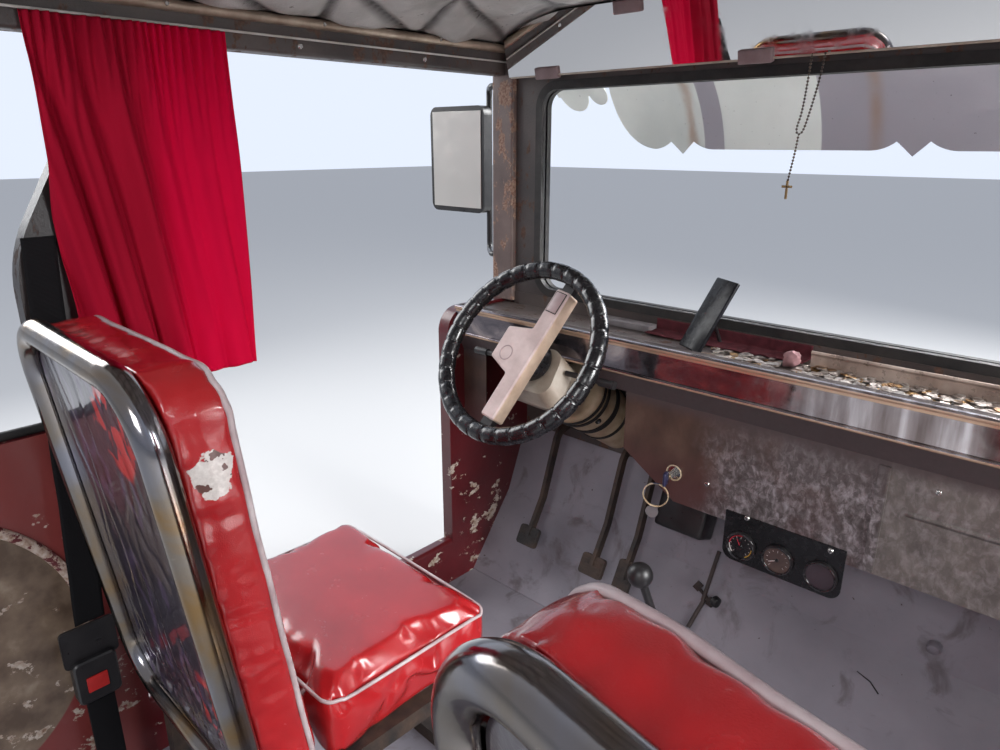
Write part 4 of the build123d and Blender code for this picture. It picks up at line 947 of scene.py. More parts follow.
def back_pad_form(inset=0.007):
    """The back pad before it swells: a leaning slab, round at its two upper corners and crowned on top."""
    form = bmesh.new()
    height = PAD_EDGE + PAD_CROWN * 0.55 - PAD_LOW
    middle = PAD_LOW + height / 2
    size = (PAD_WIDTH - 2 * inset, PAD_THICK - inset, height - 2 * inset)
    bmesh.ops.create_cube(form, size=1.0, matrix=sized((0, 0, middle), size))
    upper = [e for e in form.edges if all(p.co.z > middle for p in e.verts)]
    upper = [e for e in upper if abs(e.verts[0].co.y - e.verts[1].co.y) > 0.01]
    round_edges(form, upper, PAD_CORNER, 8)
    bmesh.ops.subdivide_edges(form, edges=form.edges, cuts=1, use_grid_fill=True)
    for point in form.verts:
        point.co.y += pad_rear(point.co.z) + PAD_THICK / 2 - inset / 2
        lift = (point.co.z - PAD_EDGE) / PAD_CROWN
        if lift > 0:
            point.co.y -= 0.02 * lift
    return form


def seat_cushion_form(inset=0.007):
    """The seat cushion before it swells: a low block with rounded upright corners."""
    form = bmesh.new()
    rear, front = pad_rear(PAD_LOW) + PAD_THICK + 0.002, 0.472
    size = (PAD_WIDTH - 0.026 - 2 * inset, front - rear - 2 * inset, 0.120 - 2 * inset)
    place = sized((0, (rear + front) / 2, BASE_TOP + 0.060), size)
    bmesh.ops.create_cube(form, size=1.0, matrix=place)
    upright = [e for e in form.edges if abs(e.verts[0].co.z - e.verts[1].co.z) > 0.01]
    round_edges(form, upright, 0.04, 6)
    return form


print("seats at", [seat[1:3] for seat in SEATS])

# %% Pads before they swell
pads = []
for seat_name, seat_x, seat_y, seat_turn in SEATS:
    for kind, make_form in (("back_cushion", back_pad_form), ("seat_cushion", seat_cushion_form)):
        pad_form = make_form()
        pad_form.transform(seat_matrix(seat_x, seat_y, seat_turn))
        pad = show(f"{seat_name}_{kind}_pad", pad_form, red_vinyl, smooth=0)
        remesh = pad.modifiers.new("even_squares", "REMESH")
        remesh.mode = "VOXEL"
        remesh.voxel_size = SQUARE
        evaluated = pad.evaluated_get(bpy.context.evaluated_depsgraph_get())
        pad.data = bpy.data.meshes.new_from_object(evaluated)
        pad.modifiers.clear()
        pads.append((pad, kind, seat_matrix(seat_x, seat_y, seat_turn)))
print([(pad.name, len(pad.data.vertices)) for pad, kind, place in pads])

# %% Swell the pads
scene = bpy.context.scene
before = {pad.name: [point.co.copy() for point in pad.data.vertices] for pad, kind, place in pads}
for pad, kind, place in pads:
    cloth = pad.modifiers.new("swell", "CLOTH")
    cloth.settings.use_pressure = True
    cloth.settings.uniform_pressure_force = 4.0
    cloth.settings.effector_weights.gravity = 0.0
    cloth.point_cache.frame_start, cloth.point_cache.frame_end = 1, SWELL_FRAMES
for frame_number in range(1, SWELL_FRAMES + 1):
    scene.frame_set(frame_number)
for pad, kind, place in pads:
    evaluated = pad.evaluated_get(bpy.context.evaluated_depsgraph_get())
    swollen = [point.co.copy() for point in evaluated.data.vertices]
    pad.modifiers.clear()
    for point, place_now in zip(pad.data.vertices, swollen):
        point.co = place_now
scene.frame_set(1)


def wrinkle(u, z, size):
    """Smooth noise from 0 to 1 that runs straight across the seam."""
    return 0.5 + 0.5 * noise.noise(Vector((u / size, 3.7, z / size)))


for pad, kind, place in pads:
    to_seat = place.inverted()
    for point, was in zip(pad.data.vertices, before[pad.name]):
        moved = point.co - was
        if moved.length > SWELL_CAP[kind]:
            moved.length = SWELL_CAP[kind]
        at = to_seat @ (was + moved)
        if kind == "back_cushion":
            behind = at.y - pad_rear(at.z)
            edge_way = 1.0 if abs(at.x) > 0.2 or at.z > PAD_EDGE - 0.02 else 0.0
            seam = 0.0075 * math.exp(-(((behind - 0.012) / 0.014) ** 2))
            seam *= 0.25 + 0.75 * wrinkle(at.x, at.z, 0.011)
            second = 0.0045 * math.exp(-(((behind - 0.034) / 0.022) ** 2)) * wrinkle(at.x, at.z, 0.02) ** 2
            pinch = (seam + second) * edge_way
            middle = Vector((0, at.y, min(at.z, PAD_EDGE - 0.12)))
            at += (middle - at).normalized() * pinch
            at.y = max(at.y, pad_rear(at.z) + 0.0006)
            if at.z < 0.46:
                at.y = min(at.y, pad_rear(PAD_LOW) + PAD_THICK - 0.0005)
            at.z = max(at.z, PAD_LOW + 0.001)
        else:
            at.y = max(at.y, pad_rear(PAD_LOW) + PAD_THICK + 0.0008)
            at.z = max(at.z, BASE_TOP)
        point.co = place @ at
    smoother = bmesh.new()
    smoother.from_mesh(pad.data)
    bmesh.ops.smooth_vert(
        smoother,
        verts=smoother.verts,
        factor=0.25,
        use_axis_x=True,
        use_axis_y=True,
        use_axis_z=True,
    )
    smoother.to_mesh(pad.data)
    smoother.free()
    pad.data.shade_smooth()
    rounder = pad.modifiers.new("round", "SUBSURF")
    rounder.levels = rounder.render_levels = 1
    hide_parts(pad.name.removesuffix("_pad"))
print("pads swollen")

# %% [markdown]
# ## Piping
# A thin pale bead is sewn in along the front edge of each back pad and round the top of each cushion. It
# follows the swollen surface, so a smooth curve is drawn where the edge was cut, and each of its points is
# then moved to the nearest place on the pad.


# %% Piping
def bead_on(name, pad, points, radius, closed=False):
    """A round bead along points that are first moved onto the pad."""
    lookup = bmesh.new()
    lookup.from_mesh(pad.data)
    tree = BVHTree.FromBMesh(lookup)
    curve = bpy.data.curves.new(name + "_line", "CURVE")
    curve.dimensions = "3D"
    curve.bevel_depth = radius
    curve.bevel_resolution = 2
    curve.resolution_u = 3
    curve.use_fill_caps = not closed
    line = curve.splines.new("NURBS")
    line.points.add(len(points) - 1)
    for spline_point, place in zip(line.points, points):
        nearest, normal, _, _ = tree.find_nearest(place)
        spline_point.co = (*(nearest + normal * radius * 0.35), 1)
    line.use_cyclic_u = closed
    line.order_u = 3
    line.use_endpoint_u = not closed
    lookup.free()
    line_object = bpy.data.objects.new(name + "_line", curve)
    bpy.context.scene.collection.objects.link(line_object)
    evaluated = line_object.evaluated_get(bpy.context.evaluated_depsgraph_get())
    bead_form = bmesh.new()
    bead_form.from_mesh(evaluated.to_mesh())
    bpy.data.objects.remove(line_object)
    return show(name, bead_form, piping_vinyl, smooth=0)


for pad, kind, place in pads:
    outline = []
    if kind == "back_cushion":
        low, high, half = PAD_LOW + 0.02, PAD_EDGE + 0.004, PAD_WIDTH / 2 + 0.004
        corner = PAD_CORNER + 0.004
        for step in range(13):
            outline.append((-half, low + (high - corner - low) * step / 12))
        for step in range(1, 6):
            angle = math.radians(90 * step / 6)
            outline.append(
                (-half + corner - corner * math.cos(angle), high - corner + corner * math.sin(angle))
            )
        for step in range(9):
            outline.append((-half + corner + (2 * half - 2 * corner) * step / 8, high))
        for step in range(5, 0, -1):
            angle = math.radians(90 * step / 6)
            outline.append(
                (half - corner + corner * math.cos(angle), high - corner + corner * math.sin(angle))
            )
        for step in range(12, -1, -1):
            outline.append((half, low + (high - corner - low) * step / 12))
        route = [place @ Vector((u, pad_rear(z) + PAD_THICK + 0.008, z)) for u, z in outline]
        bead_on(pad.name.replace("_pad", "_piping"), pad, route, 0.0043)
    else:
        rear, front = pad_rear(PAD_LOW) + PAD_THICK + 0.010, 0.470
        half, corner = PAD_WIDTH / 2 - 0.012, 0.045
        for corner_u, corner_v, first in (
            (half, front, 0), (-half, front, 90), (-half, rear, 180), (half, rear, 270)
        ):
            centre_u = corner_u - math.copysign(corner, corner_u)
            centre_v = corner_v - corner if corner_v == front else corner_v + corner
            for step in range(5):
                angle = math.radians(first + 90 * step / 4)
                outline.append((centre_u + corner * math.cos(angle), centre_v + corner * math.sin(angle)))
        route = [place @ Vector((u, v, BASE_TOP + 0.112)) for u, v in outline]
        bead_on(pad.name.replace("_pad", "_piping"), pad, route, 0.003, closed=True)
print("piping on", len(pads), "pads")

# %% [markdown]
# ## Vinyl over the boards
# The board behind each pad is covered by a clear sheet that has shrunk and crinkled. Its creases run mostly
# up and down, and bunch at the foot. The sheet is a fine grid whose points are pushed out by folded noise,
# which gives sharp ridges between flat places.

# %% Board sheets
BOARD_HALF, BOARD_CORNER = 0.198, 0.064
LOOP_LOW, LOOP_HIGH = 0.330, 0.986
for seat_name, seat_x, seat_y, seat_turn in SEATS:
    run = (LOOP_HIGH - LOOP_LOW) / math.cos(LOOP_LEAN)
    width, length = 2 * BOARD_HALF + 0.003, run - 0.038
    sheet_form = bmesh.new()
    bmesh.ops.create_grid(
        sheet_form,
        x_segments=70,
        y_segments=110,
        size=0.5,
        matrix=Matrix.Diagonal((width, length, 1, 1)),
    )
    for point in sheet_form.verts:
        u, s = point.co.x, point.co.y
        over_u, over_s = abs(u) - (width / 2 - BOARD_CORNER), abs(s) - (length / 2 - BOARD_CORNER)
        if over_u > 0 and over_s > 0:
            away = math.hypot(over_u, over_s)
            if away > 1e-6:
                squeeze = max(over_u, over_s) / away
                u = math.copysign(width / 2 - BOARD_CORNER + over_u * squeeze, u)
                s = math.copysign(length / 2 - BOARD_CORNER + over_s * squeeze, s)
        edge = min(width / 2 - abs(point.co.x), length / 2 - abs(point.co.y))
        foot = max(0.0, -point.co.y / (length / 2)) ** 2
        tall = 1 - abs(noise.noise(Vector((u * 20 + 1.7, s * 6, seat_x))) * 2)
        fine = 1 - abs(noise.noise(Vector((u * 60, s * 34 + 5.1, seat_y))) * 2)
        crease = (0.45 * tall**6 + 0.7 * fine**3 * foot) * min(1.0, edge / 0.02)
        point.co = (u, s, -0.0012 - 0.006 * crease * (0.5 + 0.9 * foot))
    middle = (LOOP_LOW + LOOP_HIGH) / 2
    lean = Matrix.Rotation(math.radians(90) + LOOP_LEAN, 4, "X")
    on_loop = Matrix.Translation((0, -(middle - LOOP_LOW) * math.tan(LOOP_LEAN), middle)) @ lean
    sheet_form.transform(seat_matrix(seat_x, seat_y, seat_turn) @ on_loop)
    board_sheet = show(f"{seat_name}_board_sheet", sheet_form, board_print, smooth=0)
    thicken(board_sheet, 0.0006)
    for material_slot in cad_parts[f"{seat_name}_back_board"].material_slots:
        material_slot.material = board_print
    area_now = sum(face.area for face in board_sheet.data.polygons)
    print(board_sheet.name, "area", round(area_now, 4), "of", round(width * length, 4))

# %% [markdown]
# ## Curtains
# Each door has a crimson curtain on a wire. It is gathered at the top in many small pleats, which join into a
# few deep folds that run down and fan forwards, and its front half hangs almost flat. One grid is pushed in
# and out by waves: small ones that die away downwards, and large ones that grow.

# %% Curtains
CURTAIN_X, CURTAIN_REAR, CURTAIN_FRONT = 0.778, -0.465, -0.156
CURTAIN_LOW, CURTAIN_HIGH = 0.830, 1.421
curtain_run, curtain_drop = CURTAIN_FRONT - CURTAIN_REAR, CURTAIN_HIGH - CURTAIN_LOW
curtain_form = bmesh.new()
for side in (-1, 1):
    middle = (side * CURTAIN_X, (CURTAIN_REAR + CURTAIN_FRONT) / 2, (CURTAIN_LOW + CURTAIN_HIGH) / 2)
    upright = Matrix.Translation(middle) @ swung(90, "Y") @ Matrix.Diagonal((curtain_drop, curtain_run, 1, 1))
    bmesh.ops.create_grid(curtain_form, x_segments=110, y_segments=150, size=0.5, matrix=upright)
for point in curtain_form.verts:
    side = math.copysign(1, point.co.x)
    along = (point.co.y - CURTAIN_REAR) / curtain_run
    down = (CURTAIN_HIGH - point.co.z) / curtain_drop
    fan = along - 0.30 * down * (1 - 0.5 * along)
    pleats = 0.0062 * math.sin(along * 132 + 3 * math.sin(along * 11)) * max(0.0, 1 - down * 2.6) ** 1.4
    wave = math.sin(fan * 32 + 1.1 + 0.5 * math.sin(fan * 13))
    folds = 0.0150 * math.copysign(abs(wave) ** 0.75, wave) * (0.30 + 0.70 * min(1, down * 2.2))
    folds *= 1 - 0.82 * min(1.0, max(0.0, (along - 0.42) / 0.2))
    small = 0.0045 * math.sin(fan * 71 + 0.4) * min(1, down * 3)
    small *= 1 - 0.7 * min(1.0, max(0.0, (along - 0.5) / 0.2))
    billow = 0.006 * noise.noise(Vector((along * 3, down * 2.5, side)))
    point.co.x = side * (CURTAIN_X + max(-0.019, min(0.015, pleats + folds + small + billow)))
    point.co.y += 0.006 * math.cos(fan * 32 + 1.1) * down
cloth_area = sum(face.calc_area() for face in curtain_form.faces) / 2
curtain_cloth = show("curtain_cloth", curtain_form, crimson_cloth, smooth=0)
thicken(curtain_cloth, 0.0012)
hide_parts("curtains")
print("each curtain", round(cloth_area / curtain_drop, 3), "m wide before it was gathered")

# %% [markdown]
# ## Ceiling
# The liner is wadding under vinyl, drawn up at the seams. A grid is bent to the roof's line and hangs lowest
# half-way between the seams of both runs. It stays close to the roof over the mirror, which is only
# millimetres below.

# %% Quilted ceiling
LINER_Z, LINER_FLAT, LINER_R, LINER_HALF = 1.525, 0.560, 0.508, 0.789
ceiling_form = bmesh.new()
ceiling_place = sized((0, (-0.700 + 0.570) / 2, LINER_Z), (2 * LINER_HALF, 1.268, 1))
bmesh.ops.create_grid(ceiling_form, x_segments=180, y_segments=150, size=0.5, matrix=ceiling_place)


def from_seam(x, y, run):
    """0 on a seam and 1 half-way to the next one."""
    slope, between, first = run
    return 1 - abs(2 * (((y - slope * abs(x) - first) / between) % 1.0) - 1)


for point in ceiling_form.verts:
    x, y = point.co.x, point.co.y
    puff = (from_seam(x, y, SEAM_RUNS[0]) * from_seam(x, y, SEAM_RUNS[1])) ** 0.36
    room = min(1.0, max(0.0, (0.50 - y) / 0.12)) * min(1.0, max(0.0, (LINER_HALF - abs(x)) / 0.022))
    ripple = 0.004 * noise.noise(Vector((x * 14, y * 14, 0.3)))
    ripple = (ripple + 0.002 * noise.noise(Vector((x * 45, y * 30, 1.7)))) * room
    drop = 0.0
    if abs(x) > LINER_FLAT:
        drop = LINER_R - math.sqrt(LINER_R**2 - (abs(x) - LINER_FLAT) ** 2)
    point.co.z = LINER_Z - drop - 0.003 - 0.030 * puff * room + ripple
ceiling = show("ceiling_quilt", ceiling_form, ceiling_vinyl, smooth=0, outward=False)
thicken(ceiling, 0.003, -1)
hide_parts("roof_liner")
print("ceiling", len(ceiling.data.polygons), "squares")

# %% [markdown]
# ## Edge trim
# A half-round metal cove covers the line where the ceiling meets each side rail. It is a slim rod that sinks
# half-way into the rail, with the screws that hold it, and rivets below it in the rail's face.

# %% Edge trim
trim_metal = moulded("trim_metal", (182, 164, 146), (136, 118, 102), 0.36, 0.01, 0.0001, Metallic=0.5)
trim_form = bmesh.new()
for side in (-1, 1):
    rod(trim_form, (side * 0.7885, -0.697, 1.4535), (side * 0.7885, 0.565, 1.4535), 0.0095, sides=24)
    for screw_y in (-0.55, -0.25, 0.05, 0.35):
        rod(
            trim_form,
            (side * 0.7800, screw_y, 1.4535),
            (side * 0.7770, screw_y, 1.4535),
            0.004,
            0.003,
            12,
            material=1,
        )
    for rivet_y in (-0.6, -0.3, 0.0, 0.311):
        rod(
            trim_form,
            (side * 0.7905, rivet_y, 1.412),
            (side * 0.7875, rivet_y, 1.412),
            0.006,
            0.004,
            14,
            material=1,
        )
show("edge_trim", trim_form, trim_metal, chrome)
print("trim along both rails")

# %% [markdown]
# ## Rim cover
# The steering wheel's rim is wrapped in a laced black cover, in smooth lengths with crossed laces between
# them. A round profile is spun about the wheel's axis in fine steps. Near each joint the points are drawn in,
# and two strands that cross are raised again.

# %% Rim cover
RIM_R, COVER_R, LENGTHS = 0.195, 0.0182, 33
rim_form = bmesh.new()
ring(rim_form, WHEEL, RIM_R, COVER_R, sides=28, steps_round=LENGTHS * 20)
to_wheel = WHEEL.inverted()
for point in rim_form.verts:
    at = to_wheel @ point.co
    angle = math.atan2(at.y, at.x)
    centre = Vector((RIM_R * math.cos(angle), RIM_R * math.sin(angle), 0))
    out = at - centre
    across = math.atan2(out.z, out.dot(centre.normalized()))
    joint = (angle * LENGTHS / (2 * math.pi) + 0.5) % 1.0 - 0.5
    groove = math.exp(-((joint / 0.14) ** 2))
    strand = max(math.exp(-(((joint - sign * 0.11 * math.sin(across * 2)) / 0.045) ** 2)) for sign in (-1, 1))
    swell = 0.0012 - 0.0026 * groove + 0.0022 * strand * groove
    point.co = WHEEL @ (centre + out.normalized() * (COVER_R + swell))
show("rim_cover", rim_form, black_gloss, body="steering_wheel", smooth=0)
print("rim cover in", LENGTHS, "lengths")

# %% [markdown]
# ## Horn pad and hub
# The pad over the hub is moulded in one piece. A button plate is raised near its upper end, and a plain oval
# boss marks the middle. Under it a black collar hides the shaft. All of this turns with the wheel, so it is
# placed in the turned wheel's own directions.

# %% Horn pad details
TURNED = WHEEL @ swung(79.0, "Z")
pad_details = bmesh.new()
block(
    pad_details,
    (0.050, 0.031, 0.0012),
    TURNED @ Matrix.Translation((0.128, -0.026, 0.0064)),
    0.0004,
    1,
    material=1,
)
block(pad_details, (0.046, 0.027, 0.0022), TURNED @ Matrix.Translation((0.128, -0.026, 0.0068)), 0.0008, 2)
oval = TURNED @ Matrix.Translation((-0.017, 0.022, 0.006)) @ Matrix.Diagonal((1.25, 1.0, 1, 1))
ring(pad_details, oval, 0.013, 0.0011, sides=10, steps_round=40)
show("horn_pad_details", pad_details, mauve_plastic, black_rubber, body="steering_wheel")
collar = bmesh.new()
rod(collar, TURNED @ Vector((0, 0, -0.0665)), TURNED @ Vector((0, 0, -0.031)), 0.047, 0.041, 48, 0.003)
show("hub_collar", collar, black_gloss, body="steering_wheel")
print("pad button, oval and collar")

# %% [markdown]
# ## Column straps
# Black bands hold the cover round the steering column, with a screw between them. A band is an open cone a
# little wider than the cover, given its thickness by the solidify operator.

# %% Column straps
COVER_START, COVER_END, COVER_BIG, COVER_SMALL = 0.245, 0.520, 0.080, 0.064
STRAPS = ((0.262, 0.009), (0.283, 0.011), (0.338, 0.019), (0.402, 0.010))  # along the axis, width
strap_form = bmesh.new()
for strap_at, strap_width in STRAPS:
    radii = []
    for end in (strap_at - strap_width / 2, strap_at + strap_width / 2):
        share = (end - COVER_START) / (COVER_END - COVER_START)
        radii.append(COVER_BIG - (COVER_BIG - COVER_SMALL) * share + 0.0006)
    place = WHEEL @ Matrix.Translation((0, 0, -strap_at)) @ swung(180, "X")
    band = bmesh.ops.create_cone(
        strap_form,
        cap_ends=False,
        segments=96,
        radius1=radii[0],
        radius2=radii[1],
        depth=strap_width,
        matrix=place,
    )["verts"]
    band_faces = list(dict.fromkeys(face for point in band for face in point.link_faces))
    bmesh.ops.solidify(strap_form, geom=band_faces, thickness=-0.0025)
screw_place = Vector((-0.4344, 0.5177, 0.5993))
outwards = (screw_place - WHEEL @ Vector((0, 0, -0.3033))).normalized()
rod(strap_form, screw_place - outwards * 0.003, screw_place + outwards * 0.004, 0.0085, 0.0075, 20, 0.001)
rod(
    strap_form,
    screw_place + outwards * 0.003,
    screw_place + outwards * 0.0055,
    0.0035,
    0.003,
    12,
    material=1,
)
show("column_straps", strap_form, black_rubber, chrome)
print(len(STRAPS), "straps and a screw")

# %% [markdown]
# ## Gauges
# Three round gauges sit in the black bracket. The first has a lit red and yellow arc, white ticks and a red
# needle, the second is browned by the sun, and the third is blank. Each dial is a thin disc in its bezel, and
# the arcs are thin bars bent about the dial's middle.

# %% Gauges
dial_black = moulded("dial_black", (18, 16, 18), (30, 26, 30), 0.25, 0.004, 0.00005, Coat_Weight=0.7)
dial_brown = moulded("dial_brown", (78, 60, 56), (108, 88, 78), 0.4, 0.004, 0.0001, Coat_Weight=0.5)
dial_plum = moulded("dial_plum", (56, 44, 52), (72, 58, 64), 0.35, 0.004, 0.0001, Coat_Weight=0.5)
mark_white = moulded("mark_white", (206, 198, 196), (176, 168, 164), 0.5)
mark_red = moulded("mark_red", (196, 38, 62), (160, 30, 44), 0.4)
mark_yellow = moulded("mark_yellow", (206, 160, 60), (176, 134, 44), 0.4)
GAUGE_Z, GAUGE_Y = 0.475, 0.4178
DIALS = (-0.011, 0.063, 0.144)  # x of the three
ARCS = ((85, 175, 4), (300, 360, 5), (180, 225, 3))  # degrees from, degrees to, colour
dial_form = bmesh.new()
for face_kind, dial_x in enumerate(DIALS):
    front = (dial_x, GAUGE_Y - 0.0008, GAUGE_Z)
    rod(dial_form, (dial_x, GAUGE_Y + 0.0001, GAUGE_Z), front, 0.0257, sides=40, material=face_kind)
    facing = Matrix.Translation(front) @ swung(90, "X")
    ring(dial_form, facing @ Matrix.Translation((0, 0, 0.0016)), 0.0275, 0.0022, sides=8, steps_round=48)
    if face_kind == 2:
        continue
    for tick in range(11):
        reach, tick_length = (0.0185, 0.0045) if tick % 5 == 0 else (0.0195, 0.003)
        place = facing @ swung(225 - 27 * tick, "Z") @ Matrix.Translation((reach, 0, 0.0003))
        block(dial_form, (tick_length, 0.0009, 0.0005), place, 0.0001, 1, material=3)
    needle_turn = swung((118, 205)[face_kind], "Z")
    needle_place = facing @ needle_turn @ Matrix.Translation((0.007, 0, 0.0012))
    block(dial_form, (0.020, 0.0016, 0.0006), needle_place, 0.0002, 1, material=(4, 3)[face_kind])
    rod(dial_form, facing @ Vector((0, 0, 0)), facing @ Vector((0, 0, 0.002)), 0.0038, 0.003, 16)
facing = Matrix.Translation((DIALS[0], GAUGE_Y - 0.001, GAUGE_Z)) @ swung(90, "X")
for arc_from, arc_to, colour in ARCS:
    already = set(dial_form.faces)
    turned = facing @ swung(arc_from, "Z")
    ring(dial_form, turned, 0.0228, 0.0011, sides=6, steps_round=14, sweep=arc_to - arc_from)
    for face in set(dial_form.faces) - already:
        face.material_index = colour
bmesh.ops.holes_fill(dial_form, edges=[edge for edge in dial_form.edges if edge.is_boundary], sides=6)
show("gauge_dials", dial_form, dial_black, dial_brown, dial_plum, mark_white, mark_red, mark_yellow)
print(len(DIALS), "dials")

# %% [markdown]
# ## Screws
# Bright pan-head screws hold the bracket and the panel. A screw is a short cone with a rounded rim, and two
# thin dark bars make its cross slot.

# %% Screws
SCREWS = (  # on the panel's face or the bracket's
    (-0.097, 0.425, 0.580),
    (-0.006, 0.422, 0.538),
    (0.154, 0.422, 0.532),
    (0.300, 0.425, 0.700),
    (0.620, 0.425, 0.700),
    (0.500, 0.425, 0.530),
)
screw_form = bmesh.new()
for x, y, z in SCREWS:
    rod(screw_form, (x, y + 0.001, z), (x, y - 0.003, z), 0.0062, 0.0042, 18, 0.0006)
    for turn in (25, 115):
        block(
            screw_form,
            (0.0062, 0.0004, 0.0011),
            standing(x, y - 0.0031, z, turn_y=turn),
            0.0001,
            1,
            material=1,
        )
show("panel_screws", screw_form, chrome, black_plastic)
print(len(SCREWS), "screws")

# %% [markdown]
# ## Ignition key
# The key stands in the switch with a dark blue head. A wire ring hangs from it with a small bare oval tag.
# The ring is two turns of thin wire, so it is spun twice, a little apart.

# %% Ignition key
tray_box = moulded("tray_box_grey", (126, 120, 122), (98, 92, 94), 0.45)
key_blue = moulded("key_blue", (30, 32, 60), (44, 44, 74), 0.35)
ring_gold = moulded("ring_gold", (222, 208, 184), (190, 166, 130), 0.25, Metallic=0.5)
key_form = bmesh.new()
block(key_form, (0.007, 0.020, 0.030), standing(-0.172, 0.389, 0.579, turn_z=14), 0.003, 3)
ring(key_form, standing(-0.170, 0.4195, 0.583, turn_x=90), 0.0165, 0.0016, 8, 40)
hoop = standing(-0.190, 0.386, 0.5375, turn_x=90, turn_z=20)
for shift in (-0.0009, 0.0009):
    ring(key_form, hoop @ Matrix.Translation((0, 0, shift * 1.4)), 0.0262, 0.0013, 8, 56)
for face in key_form.faces:
    place = face.calc_center_median()
    if place.y > 0.41 or place.z < 0.5635:
        face.material_index = 1
tag = standing(-0.196, 0.3855, 0.497, turn_x=90, turn_z=20) @ Matrix.Diagonal((0.8, 1.15, 1, 1))
rod(key_form, tag @ Vector((0, 0, -0.0011)), tag @ Vector((0, 0, 0.0011)), 0.0135, sides=28, material=2)
show("ignition_key", key_form, key_blue, ring_gold, tray_box)
print("key, ring and tag")

# %% [markdown]
# ## Cloth on the upstand
# A maroon cloth is tucked over the upstand behind the tray. It is a narrow sheet that hangs down the
# upstand's face, turns and lies on the tray, and it creases most where it turns.

# %% Cloth on the upstand
CLOTH_LEFT, CLOTH_RIGHT, CLOTH_LONG, CLOTH_TURN = -0.327, 0.021, 0.078, 0.026
UPSTAND_Y, UPSTAND_TOP, TRAY_TOP = 0.5795, 0.8615, 0.8350
cloth_form = bmesh.new()
cloth_middle = ((CLOTH_LEFT + CLOTH_RIGHT) / 2, CLOTH_LONG / 2, 0)
cloth_place = sized(cloth_middle, (CLOTH_RIGHT - CLOTH_LEFT, CLOTH_LONG, 1))
bmesh.ops.create_grid(cloth_form, x_segments=90, y_segments=22, size=0.5, matrix=cloth_place)
for point in cloth_form.verts:
    run = point.co.y
    crease = 0.0022 * abs(noise.noise(Vector((point.co.x * 34, run * 12, 0.4))))
    crease += 0.0009 * abs(noise.noise(Vector((point.co.x * 90, run * 40, 4.0))))
    if run < CLOTH_TURN:
        point.co.y, point.co.z = UPSTAND_Y - crease, UPSTAND_TOP - run
    else:
        point.co.y, point.co.z = UPSTAND_Y - (run - CLOTH_TURN), TRAY_TOP + 2 * crease
upstand_cloth = show("upstand_cloth", cloth_form, maroon_cloth, smooth=0)
thicken(upstand_cloth, 0.0018)
print("cloth on the upstand")

# %% [markdown]
# ## Things in the tray
# Loose coins and washers have slid against the guard. They are thin discs with few sides, because there are
# hundreds, and a seeded generator strews them so that every run is the same. With them lie a grey tray box
# and a scrap of paper, which is a ball crumpled by noise, and a dark glass slab leans on a small stand.

# %% Things in the tray
coin_silver = finish("coin_silver", (196, 190, 184), 0.35, 0.6)
coin_brass = finish("coin_brass", (170, 132, 80), 0.4, 1.0)
for coin, light, dark in (
    (coin_silver, (196, 190, 184), (104, 90, 82)), (coin_brass, (184, 146, 92), (96, 70, 50))
):
    coin_tone = steps(coin, grain(coin, 0.012, 4), (0.3, light), (0.6, dark))
    wire_up(coin, colour=coin_tone, height=grain(coin, 0.002, 3), lift=0.0002)
COIN_THICK = 0.0017
scatter = random.Random(11)
HEAPS = (
    (-0.150, -0.010, 0.455, 0.515, 80), (0.030, 0.460, 0.450, 0.526, 300), (0.460, 0.740, 0.470, 0.526, 100)
)
coin_form = bmesh.new()
for heap_left, heap_right, heap_rear, heap_front, count in HEAPS:
    for number in range(count):
        place = standing(
            scatter.uniform(heap_left, heap_right),
            scatter.uniform(heap_rear, heap_front),
            TRAY_TOP + COIN_THICK * (number % 3),
            turn_x=scatter.uniform(-9, 9),
            turn_y=scatter.uniform(-9, 9),
        )
        radius = scatter.choice((0.0065, 0.0078, 0.0092))
        made = bmesh.ops.create_cone(
            coin_form,
            cap_ends=True,
            segments=14,
            radius1=radius,
            radius2=radius,
            depth=COIN_THICK,
            matrix=place,
        )["verts"]
        paint_faces(made, 1 if number % 5 == 2 else 0)
show("tray_coins", coin_form, coin_silver, coin_brass)
tray_form = bmesh.new()
block(tray_form, (0.139, 0.035, 0.0145), standing(-0.3975, 0.5625, 0.8393), 0.002, 2)
scrap_place = standing(0.006, 0.505, 0.8485)
scrap = bmesh.ops.create_icosphere(tray_form, subdivisions=3, radius=0.016, matrix=scrap_place)["verts"]
for point in scrap:
    fold = 1 - 2 * abs(noise.noise(point.co * 70))
    point.co.x += 0.006 * fold
    point.co.z += 0.004 * (fold - 0.4)
paint_faces(scrap, 2)
slab_low, slab_high = Vector((-0.190, 0.478, 0.8345)), Vector((-0.150, 0.545, 0.973))
slab_up = (slab_high - slab_low).normalized()
slab_side = Vector((0.86, -0.51, 0)).normalized()
slab_turn = Matrix((slab_side, slab_up.cross(slab_side), slab_up)).transposed().to_4x4()
slab_place = Matrix.Translation((slab_low + slab_high) / 2) @ slab_turn
block(tray_form, (0.075, 0.008, (slab_high - slab_low).length), slab_place, 0.003, 3, material=1)
rod(tray_form, (-0.168, 0.518, 0.905), (-0.168, 0.572, 0.834), 0.004, 0.004, 12, material=3)
scrap_paper = moulded("scrap_paper", (160, 118, 118), (112, 80, 84), 0.8)
show("tray_things", tray_form, tray_box, slab_glass, scrap_paper, black_plastic)
print(sum(heap[4] for heap in HEAPS), "coins")

# %% [markdown]
# ## Linkage on the toe board
# A black housing sits beside the pedals, and a rusted rod with nuts and a small knob comes up to it along the
# toe board. To the right a round boss is screwed to the steep part. Rods are cylinders between two points.

